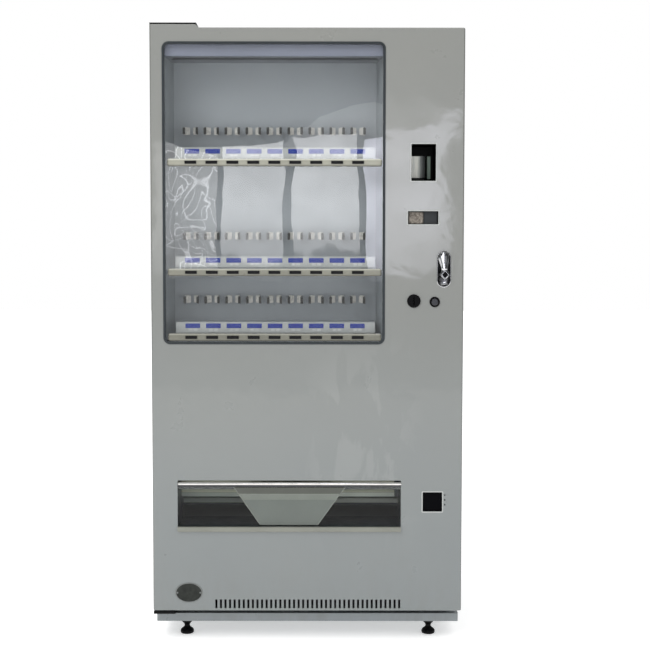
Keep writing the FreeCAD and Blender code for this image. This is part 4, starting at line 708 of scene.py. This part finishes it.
# ---------------------------------------------------------------- selection rails: rolled front, swept ends, a pocket for each button
rlo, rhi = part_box("selection_rails")
pw, ph = 0.0172 + 0.00045, 0.0042 + 0.00045
bm = bmesh.new()
for zc in (1.4366, 1.1130, 0.9203):
    half = 0.0110
    zs = [half * math.sin(math.radians(a)) for a in range(90, 24, -6)] + [ph, ph - 0.0001, -ph + 0.0001, -ph] + [-half * math.sin(math.radians(a)) for a in range(24, 91, 6)]
    zs = sorted(set(round(z, 6) for z in zs), reverse=True)

    def front(z, end):
        u = min(1.0, abs(z) / half)
        return F - 0.0040 + 0.0052 * (1 - math.sqrt(max(0.0, 1 - u ** 2.6))) + 0.0045 * end

    stations = []                                          # (x, end sweep, height factor, inside a pocket)
    x0, x1 = rlo.x, rhi.x
    for k in range(7):
        a = math.radians(90 * k / 6)
        stations.append((x0 + 0.0075 * (1 - math.cos(a)), 1 - math.sin(a), 0.60 + 0.40 * math.sin(a)))
    for i in range(9):
        xc = -0.344 + 0.0617 * i
        for off in (-pw - 0.0040, -pw, pw, pw + 0.0040):
            stations.append((xc + off, 0.0, 1.0))
    for k in range(7):
        a = math.radians(90 * (6 - k) / 6)
        stations.append((x1 - 0.0075 * (1 - math.cos(a)), 1 - math.sin(a), 0.60 + 0.40 * math.sin(a)))
    rows = []
    for x, e, hf in stations:
        rows.append([bm.verts.new((x, front(z, e), zc + z * hf)) for z in zs])
    backs = []
    yb = F + 0.0075
    for (x, e, hf), row in zip(stations, rows):
        backs.append([bm.verts.new((x, yb, v.co.z)) for v in (row[0], row[-1])])
    hole = lambda i: 7 <= i < 7 + 36 and (i - 7) % 4 == 1
    top_i = min(range(len(zs)), key=lambda i: abs(zs[i] - ph))
    low_i = min(range(len(zs)), key=lambda i: abs(zs[i] + ph))
    for i, (a, b) in enumerate(zip(rows, rows[1:])):
        for j in range(len(zs) - 1):
            if hole(i) and top_i <= j < low_i:
                continue
            bm.faces.new((a[j], a[j + 1], b[j + 1], b[j]))
        bm.faces.new((backs[i][0], a[0], b[0], backs[i + 1][0]))
        bm.faces.new((backs[i][1], backs[i + 1][1], b[-1], a[-1]))
        bm.faces.new((backs[i][0], backs[i + 1][0], backs[i + 1][1], backs[i][1]))
        if hole(i):                                        # pocket walls and floor
            d = F + 0.0067
            q = [bm.verts.new((v.co.x, d, v.co.z)) for v in (a[top_i], b[top_i], b[low_i], a[low_i])]
            bm.faces.new((a[top_i], b[top_i], q[1], q[0])).material_index = 1
            bm.faces.new((b[low_i], a[low_i], q[3], q[2])).material_index = 1
            bm.faces.new(q).material_index = 1
            ra = [a[j] for j in range(top_i, low_i + 1)]
            bm.faces.new(ra + [q[3], q[0]]).material_index = 1
            rb = [b[j] for j in range(low_i, top_i - 1, -1)]
            bm.faces.new(rb + [q[1], q[2]]).material_index = 1
    for row, bk in ((rows[0], backs[0]), (rows[-1], backs[-1])):
        bm.faces.new(row + [bk[1], bk[0]])
rails = make("rolled_rails", bm, [ivory_rail, button_black], "door", angle=45)
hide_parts("selection_rails")

# ---------------------------------------------------------------- lock handle: hollowed dish, crowned paddle with a diamond boss
paddle_chrome = chrome("paddle_chrome", (0.60, 0.60, 0.605), 0.10, (1, 1, 1), 0.000002)
# dark chrome for the bowl walls: painted dark reflection
dish_wall_dark = chrome("dish_wall_reflection", (0.17, 0.17, 0.175), 0.16, (1, 1, 1), 0.000002)
dlo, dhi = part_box("handle_dish")
bm = bmesh.new()
bowl = [(0.0, 0.0001), (0.0004, -0.0012), (0.0012, -0.0019), (0.0020, -0.0018), (0.0028, -0.0010), (0.0034, 0.0004), (0.0040, 0.0026), (0.0048, 0.0050), (0.0060, 0.0072), (0.0080, 0.0088), (0.0110, 0.0097), (0.0150, 0.0100), (0.0195, 0.0101)]
rows = []
for off, dy in bowl:
    o = rounded(dlo.x + off, dhi.x - off, dlo.z + off, dhi.z - off, 0.0208 - off, 14)
    rows.append([bm.verts.new((x, F + dy, z)) for x, z in o])
for a, b in zip(rows, rows[1:]):
    for i in range(len(a)):
        bm.faces.new((a[i], a[(i + 1) % len(a)], b[(i + 1) % len(a)], b[i]))
bm.faces.new(rows[-1])
back_row = [bm.verts.new((v.co.x, F + 0.0112, v.co.z)) for v in rows[6]]
o = rows[0]
for i in range(len(o)):
    bm.faces.new((o[i], back_row[i], back_row[(i + 1) % len(o)], o[(i + 1) % len(o)]))
bm.faces.new(back_row[::-1])
for f in bm.faces:                                         # bright chrome on the rim and foot of the bowl, dark chrome on the walls above: painted dark reflection
    c = f.calc_center_median()
    if c.y > F + 0.0010 and c.z > dlo.z + 0.0150:
        f.material_index = 1
dish = make("lock_dish", bm, [bright_chrome, dish_wall_dark], "door", angle=60)
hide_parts("handle_dish")

HX, HZ, TX, TZ, TR = 0.4065, 0.1067 + 1.0, 0.4026, 1.1585, 0.0166


def paddle_half(z):
    if z >= TZ:
        return math.sqrt(max(0.0, TR * TR - (z - TZ) ** 2))
    if z >= 1.1215:
        t = (TZ - z) / (TZ - 1.1215)
        return TR + (0.0100 - TR) * (t * t * (3 - 2 * t)) ** 0.9
    if z >= HZ:
        t = (1.1215 - z) / (1.1215 - HZ)
        return 0.0100 + 0.0038 * t * t * (3 - 2 * t)
    t = (HZ - z) / (HZ - 1.0930)
    return 0.0138 * math.sqrt(max(0.0, 1 - t ** 1.8)) * (1 - 0.22 * t)


def paddle_x(z):
    t = min(1.0, max(0.0, (TZ - z) / (TZ - HZ)))
    return TX + (HX - TX) * t


def paddle_thick(z):
    if z >= 1.1215:
        t = (z - 1.1215) / (TZ + TR - 1.1215)
        return 0.0098 - 0.0012 * math.sin(math.pi * t) - 0.0030 * t ** 3
    return 0.0098 - 0.0016 * min(1.0, abs(z - HZ) / 0.0137)


def paddle_y(x, z):
    w = max(1e-5, paddle_half(z))
    v = min(1.0, abs(x - paddle_x(z)) / w)
    return F - 0.0042 - paddle_thick(z) * (1 - v ** 2.5) ** 0.45


bm = bmesh.new()
zs = []
for k in range(61):
    a = math.pi * k / 60
    zs.append((TZ + TR + 1.0930) / 2 + (TZ + TR - 1.0930) / 2 * math.cos(a))
vs = [math.sin(math.radians(a)) for a in range(-90, 91, 6)]
rows = []
for z in zs[1:-1]:
    w, c = paddle_half(z), paddle_x(z)
    rows.append([bm.verts.new((c + w * v, paddle_y(c + w * v, z), z)) for v in vs])
top = bm.verts.new((paddle_x(zs[0]), F - 0.0044, zs[0]))
low = bm.verts.new((paddle_x(zs[-1]), F - 0.0044, zs[-1]))
for a, b in zip(rows, rows[1:]):
    for i in range(len(vs) - 1):
        bm.faces.new((a[i], a[i + 1], b[i + 1], b[i]))
for i in range(len(vs) - 1):
    bm.faces.new((top, rows[0][i + 1], rows[0][i]))
    bm.faces.new((low, rows[-1][i], rows[-1][i + 1]))
# flat back
for a, b in zip(rows, rows[1:]):
    bm.faces.new((a[-1], a[0], b[0], b[-1]))
bm.faces.new((top, rows[0][0], rows[0][-1]))
bm.faces.new((low, rows[-1][-1], rows[-1][0]))
# diamond boss round the plug
def diamond(k):
    pts = []
    for a0 in (0, 90, 180, 270):
        for d in (-14, -7, 0, 7, 14):
            t = math.radians(a0 + d)
            pts.append((HX + k * 0.98 * math.cos(t) * (1 - 0.010 * abs(d)), HZ + k * 1.06 * math.sin(t) * (1 - 0.010 * abs(d))))
    return pts
ring_frame(bm, diamond(0.0128), diamond(0.0084), [(0.0, F - 0.0090), (0.05, F - 0.0142), (0.35, F - 0.0158), (0.75, F - 0.0158), (1.0, F - 0.0146), (1.0, F - 0.0100)])
prism(bm, diamond(0.0090), F - 0.0146, F - 0.0120, 1)
for (px, pz) in ((TX - 0.0060, TZ + 0.0070), (TX + 0.0062, TZ + 0.0060)):          # two dark rivet heads
    py = paddle_y(px, pz)
    lathe(bm, (px, py + 0.0012, pz), (0, -1, 0), [(0.0026, 0.0), (0.0026, 0.0011), (0.0022, 0.0015), (0.0, 0.0016)], 24, 1)
paddle = make("lock_paddle", bm, [paddle_chrome, black_gloss], "lever", angle=50)
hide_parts("handle_lever")

# ---------------------------------------------------------------- oval plate: domed field, raised rim, two rivets
nlo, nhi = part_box("nameplate")
ncx, ncz = (nlo.x + nhi.x) / 2, (nlo.z + nhi.z) / 2
rx, rz = (nhi.x - nlo.x) / 2, (nhi.z - nlo.z) / 2
bm = bmesh.new()
seg = 96
rowsp = [(1.0, 0.0, 1), (1.0, 0.0008, 1), (0.985, 0.0013, 1), (0.955, 0.0014, 1), (0.925, 0.0009, 1), (0.915, 0.0006, 0), (0.7, 0.00075, 0), (0.4, 0.00085, 0)]
rows = [[bm.verts.new((ncx + rx * k * math.cos(2 * math.pi * i / seg), F - h, ncz + rz * k * math.sin(2 * math.pi * i / seg))) for i in range(seg)] for k, h, mi in rowsp]
for r, (a, b) in enumerate(zip(rows, rows[1:])):
    for i in range(seg):
        f = bm.faces.new((a[i], a[(i + 1) % seg], b[(i + 1) % seg], b[i]))
        f.material_index = rowsp[r][2]
cv = bm.verts.new((ncx, F - 0.0009, ncz))
for i in range(seg):
    bm.faces.new((rows[-1][i], rows[-1][(i + 1) % seg], cv))
bm.faces.new(rows[0][::-1])
for s in (-1, 1):
    lathe(bm, (ncx + s * 0.0345, F - 0.0006, ncz), (0, -1, 0), [(0.0030, 0.0), (0.0029, 0.0008), (0.0021, 0.0016), (0.0009, 0.0020), (0.0, 0.0021)], 20, 1)
plate = make("oval_nameplate", bm, [oval_plate, oval_rim], "door", angle=45)
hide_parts("nameplate")

# ---------------------------------------------------------------- thin pressed trims round the openings of the money column
# the trims are painted paler than the door enamel: a painted highlight on their folded lips
trim = simple("opening_trim", (0.40, 0.415, 0.405), rough=0.26, rvar=0.06, coat=0.5, tint=0.04, grain=0.03, bumps=((260.0, 0.00004, 2.0),))
bm = bmesh.new()
for (x0, x1, z0, z1) in ((0.3065, 0.3795, 1.3825, 1.4915), (0.2970, 0.3875, 1.2550, 1.2945), (0.3450, 0.4040, 0.3975, 0.4565)):
    outer = rounded(x0 - 0.0030, x1 + 0.0030, z0 - 0.0030, z1 + 0.0030, 0.0042, 5)
    inner = rounded(x0 + 0.0006, x1 - 0.0006, z0 + 0.0006, z1 - 0.0006, 0.0016, 5)
    ring_frame(bm, outer, inner, [(0.0, F + 0.0001), (0.10, F - 0.0006), (0.45, F - 0.0009), (0.80, F - 0.0006), (1.0, F + 0.0012), (0.9, F + 0.0014), (0.75, F + 0.0002)])
make("opening_trims", bm, [trim], "door", angle=60)

# ---------------------------------------------------------------- rolled note guide inside the bill opening
blo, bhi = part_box("bill_acceptor")
GL, GZ = blo.x + 0.0025, blo.z + 0.0025
guide_zinc = simple("guide_zinc", (0.085, 0.092, 0.092), rough=0.42, rvar=0.08, metal=0.1, tint=0.10, tint_scale=40.0, grain=0.06, grain_scale=300.0, bumps=((280.0, 0.00004, 2.0),), dirt=0.25, dirt_col=(0.05, 0.05, 0.045), dirt_scale=60.0)
bm = bmesh.new()
n = 16
front_, back_ = [], []
for k in range(n + 1):
    a = math.radians(90 * k / n)
    front_.append((GL + 0.0278 + 0.0175 * math.sin(a), F + 0.0142 + 0.046 * (1 - math.cos(a))))
    back_.append((GL + 0.0278 + 0.0160 * math.sin(a), F + 0.0157 + 0.046 * (1 - math.cos(a))))
loop = front_ + back_[::-1]
lo_ = [bm.verts.new((x, y, GZ + 0.0112)) for x, y in loop]
hi_ = [bm.verts.new((x, y, GZ + 0.0745)) for x, y in loop]
bm.faces.new(lo_)
bm.faces.new(hi_[::-1])
for i in range(len(loop)):
    j = (i + 1) % len(loop)
    bm.faces.new((lo_[i], lo_[j], hi_[j], hi_[i]))
make("note_guide", bm, [guide_zinc], "door", angle=50)

# ---------------------------------------------------------------- levelling feet: flared collar, neck, domed pad with ribs
bm = bmesh.new()
llo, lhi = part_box("levelling_feet")
for fx in (-0.372, 0.372):
    for fy in (F + 0.095, 0.300):
        lathe(bm, (fx, fy, 0), (0, 0, 1), [(0.0, 0.0), (0.0172, 0.0), (0.0196, 0.0012), (0.0207, 0.0040), (0.0208, 0.0078), (0.0196, 0.0112), (0.0168, 0.0143), (0.0128, 0.0172), (0.0098, 0.0200), (0.0084, 0.0228), (0.0083, 0.0255),
              (0.0096, 0.0290), (0.0124, 0.0325), (0.0158, 0.0360), (0.0172, 0.0385), (0.0174, 0.0440), (0.0168, 0.0470), (0.0080, 0.0472), (0.0080, 0.0500), (0.0060, 0.0500), (0.0060, 0.0690), (0.0052, 0.0700), (0.0, 0.0700)], 48)
        for k in range(12):                                # grip ribs round the collar
            a = math.radians(30 * k)
            c = Vector((fx + 0.0173 * math.cos(a), fy + 0.0173 * math.sin(a), 0.0415))
            lathe(bm, c - Vector((0, 0, 0.0035)), (0, 0, 1), [(0.0, 0.0), (0.0012, 0.0003), (0.0014, 0.0015), (0.0014, 0.0055), (0.0012, 0.0067), (0.0, 0.007)], 10)
feet = make("levelling_feet_turned", bm, [black_metal], "cabinet", angle=40)
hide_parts("levelling_feet")

# ---------------------------------------------------------------- stage, light, camera
def mat_floor():
    m, nt, bs, out = new_mat("studio_floor")
    co = obj_co(nt)
    nt.links.new(mixc(nt, noise(nt, co, 0.8, 3.0), (0.90, 0.90, 0.90), (0.92, 0.92, 0.917)), bs.inputs["Base Color"])
    bs.inputs["Roughness"].default_value = 0.65
    bs.inputs["Specular IOR Level"].default_value = 0.2
    bs.inputs["Emission Color"].default_value = (1.0, 1.0, 1.0, 1.0)
    bs.inputs["Emission Strength"].default_value = 0.42
    return m


bm = bmesh.new()
bmesh.ops.create_grid(bm, x_segments=2, y_segments=2, size=22.0)
me = bpy.data.meshes.new("floor")
bm.to_mesh(me)
bm.free()
floor = bpy.data.objects.new("floor", me)
me.materials.append(mat_floor())
scene.collection.objects.link(floor)

world = bpy.data.worlds.new("studio")
scene.world = world
world.use_nodes = True
bg = world.node_tree.nodes["Background"]
bg.inputs["Color"].default_value = (1.0, 1.0, 1.0, 1.0)
bg.inputs["Strength"].default_value = 1.0


def area(name, loc, look, sx_, sy_, radiance, glossy=True, diffuse=True):
    l = bpy.data.lights.new(name, "AREA")
    l.shape, l.size, l.size_y = "RECTANGLE", sx_, sy_
    l.energy = radiance * math.pi * sx_ * sy_
    ob = bpy.data.objects.new(name, l)
    scene.collection.objects.link(ob)
    ob.location = loc
    ob.rotation_mode = "QUATERNION"
    ob.rotation_quaternion = (Vector(look) - Vector(loc)).to_track_quat("-Z", "Y")
    ob.visible_camera = False
    ob.visible_glossy = glossy
    ob.visible_diffuse = diffuse
    return ob


area("key", (-2.6, -3.6, 4.6), (0, -0.2, 1.0), 2.8, 2.8, 5.0, glossy=False)


# a room seen only in reflections: dark side walls, pale ceiling, grey wall behind the camera with bright uneven windows
def glow(name, colour, strength, pattern=None):
    m = bpy.data.materials.new(name)
    m.use_nodes = True
    nt = m.node_tree
    nt.nodes.clear()
    em = nt.nodes.new("ShaderNodeEmission")
    em.inputs["Color"].default_value = (*colour, 1.0)
    em.inputs["Strength"].default_value = strength
    if pattern:
        nt.links.new(pattern(nt, obj_co(nt)), em.inputs["Strength"])
    nt.links.new(em.outputs[0], nt.nodes.new("ShaderNodeOutputMaterial").inputs["Surface"])
    return m


def reflector(name, pts, mat):
    bm = bmesh.new()
    bm.faces.new([bm.verts.new(p) for p in pts])
    me = bpy.data.meshes.new(name)
    bm.to_mesh(me)
    bm.free()
    me.materials.append(mat)
    ob = bpy.data.objects.new(name, me)
    scene.collection.objects.link(ob)
    for k in ("visible_camera", "visible_diffuse", "visible_shadow", "visible_transmission", "visible_volume_scatter"):
        setattr(ob, k, False)
    return ob


def wall_fade(nt, co):
    x, y, z = axes(nt, co)
    return remap(nt, mth(nt, "ADD", z, mth(nt, "MULTIPLY", noise(nt, co, 1.4, 3.0), 0.25)), 0.10, 0.85, 0.92, 0.30, True)


wall_grey = glow("room_wall", (0.92, 0.96, 1.0), 0.30, wall_fade)
reflector("room_back", [(-5.5, -7.3, 0), (5.5, -7.3, 0), (5.5, -7.3, 6.5), (-5.5, -7.3, 6.5)], wall_grey)
def side_fade(nt, co):
    x, y, z = axes(nt, co)
    return remap(nt, z, 0.0, 0.95, 0.90, 0.07, True)


side_dark = glow("room_side", (0.9, 0.95, 1.0), 0.05, side_fade)
for sx_ in (-5.5, 5.5):
    reflector("room_side_%d" % (sx_ > 0), [(sx_, -7.3, 0), (sx_, 8.0, 0), (sx_, 8.0, 6.5), (sx_, -7.3, 6.5)], side_dark)
reflector("room_far", [(-5.5, 8.0, 0), (5.5, 8.0, 0), (5.5, 8.0, 6.5), (-5.5, 8.0, 6.5)], glow("room_far", (0.92, 0.96, 1.0), 0.3, wall_fade))
reflector("room_ceiling", [(-5.5, -7.3, 6.5), (5.5, -7.3, 6.5), (5.5, 8.0, 6.5), (-5.5, 8.0, 6.5)], glow("room_ceiling", (1.0, 1.0, 1.0), 0.75))
WY = -7.2


def sky(base, low, z0, z1, streak=0.0, soft_lo=0.80, sill=0.10, sill_noise=0.30):
    def pattern(nt, co):
        x, y, z = axes(nt, co)
        fade = remap(nt, mth(nt, "ADD", z, mth(nt, "MULTIPLY", noise(nt, scaled(nt, co, (1, 1, 1)), 2.6, 3.0), 0.35)), z0 + 0.10, z1, low, base, True)
        soft = remap(nt, noise(nt, co, 4.2, 5.0, 0.6), 0.3, 0.7, soft_lo, 1.10)
        v = mth(nt, "MULTIPLY", fade, soft)
        # hills and bushes seen low through the window, with a soft uneven skyline
        ridge = mth(nt, "ADD", z, mth(nt, "MULTIPLY", noise(nt, scaled(nt, co, (1, 1, 0.4)), 3.0, 5.0, 0.6), -sill_noise))
        v = mth(nt, "MULTIPLY", v, remap(nt, ridge, z0 + sill - sill_noise * 0.5, z0 + sill + 0.07 - sill_noise * 0.5, 0.30, 1.0, True))
        if streak:
            # drooping stems and leaves in the light: thin looping lines
            n1 = noise(nt, scaled(nt, co, (1.0, 1.0, 0.62)), 2.4, 1.0, 0.4, 0.9)
            n2 = noise(nt, scaled(nt, co, (0.7, 1.0, 1.0)), 3.9, 0.6, 0.4, 0.6)
            l1 = mth(nt, "ABSOLUTE", mth(nt, "SINE", mth(nt, "MULTIPLY", n1, 34.0)))
            l2 = mth(nt, "ABSOLUTE", mth(nt, "SINE", mth(nt, "MULTIPLY", n2, 23.0)))
            v = mth(nt, "MULTIPLY", v, remap(nt, mth(nt, "MINIMUM", l1, l2), 0.04, 0.24, 1.75, 1.0 - streak * 0.75, True))
        return v
    return pattern


for i, (pts, base, low, streak, sl, si, sn) in enumerate((
        ([(-1.42, 0.98), (-0.87, 0.96), (-0.87, 2.02), (-1.10, 2.08), (-1.42, 2.16)], 2.9, 2.2, 0.42, 0.80, 0.04, 0.10),
        ([(-0.83, 0.98), (-0.30, 0.96), (-0.29, 2.16), (-0.82, 2.10)], 3.5, 1.8, 0.0, 0.80, 0.16, 0.40),
        ([(-0.21, 0.96), (0.36, 0.96), (0.32, 2.26), (-0.20, 2.19)], 3.7, 1.5, 0.0, 0.80, 0.22, 0.55),
        ([(0.44, 0.96), (1.08, 1.00), (1.19, 1.34), (1.12, 1.42), (1.17, 1.56), (1.12, 1.80), (1.07, 2.02), (1.24, 2.36), (0.95, 2.27), (0.38, 2.20)], 4.9, 2.9, 0.0, 0.62, 0.06, 0.14))):
    reflector("window_%d" % i, [(x, WY, z) for x, z in pts], glow("window_glow_%d" % i, (0.885, 0.895, 1.0) if i == 3 else (0.955, 0.965, 0.985), base, sky(base, low, 0.96, 1.9, streak, sl, si, sn)))
reflector("window_haze", [(-0.30, WY - 0.03, 2.1), (1.2, WY - 0.03, 2.1), (1.1, WY - 0.03, 2.42), (0.5, WY - 0.03, 2.52), (0.0, WY - 0.03, 2.40)], glow("haze_glow", (0.95, 0.97, 1.0), 0.95))

cam = bpy.data.cameras.new("camera")
cam.sensor_width, cam.lens = 36.0, 66.4615
cam.clip_start, cam.clip_end = 0.05, 100
co_ = bpy.data.objects.new("camera", cam)
scene.collection.objects.link(co_)
pitch, yaw, roll = math.radians(3.2433), math.radians(0.0413), math.radians(0.0572)
fwd = Vector((math.sin(yaw) * math.cos(pitch), math.cos(yaw) * math.cos(pitch), -math.sin(pitch)))
right = Vector((math.cos(yaw), -math.sin(yaw), 0))
up = right.cross(fwd)
r2 = right * math.cos(roll) + up * math.sin(roll)
u2 = up * math.cos(roll) - right * math.sin(roll)
rot = Matrix((r2, u2, -fwd)).transposed()
co_.matrix_world = Matrix.Translation((0.04998, -3.9171, 1.15865)) @ rot.to_4x4()
scene.camera = co_

scene.view_settings.view_transform = "Standard"
scene.view_settings.look = "None"
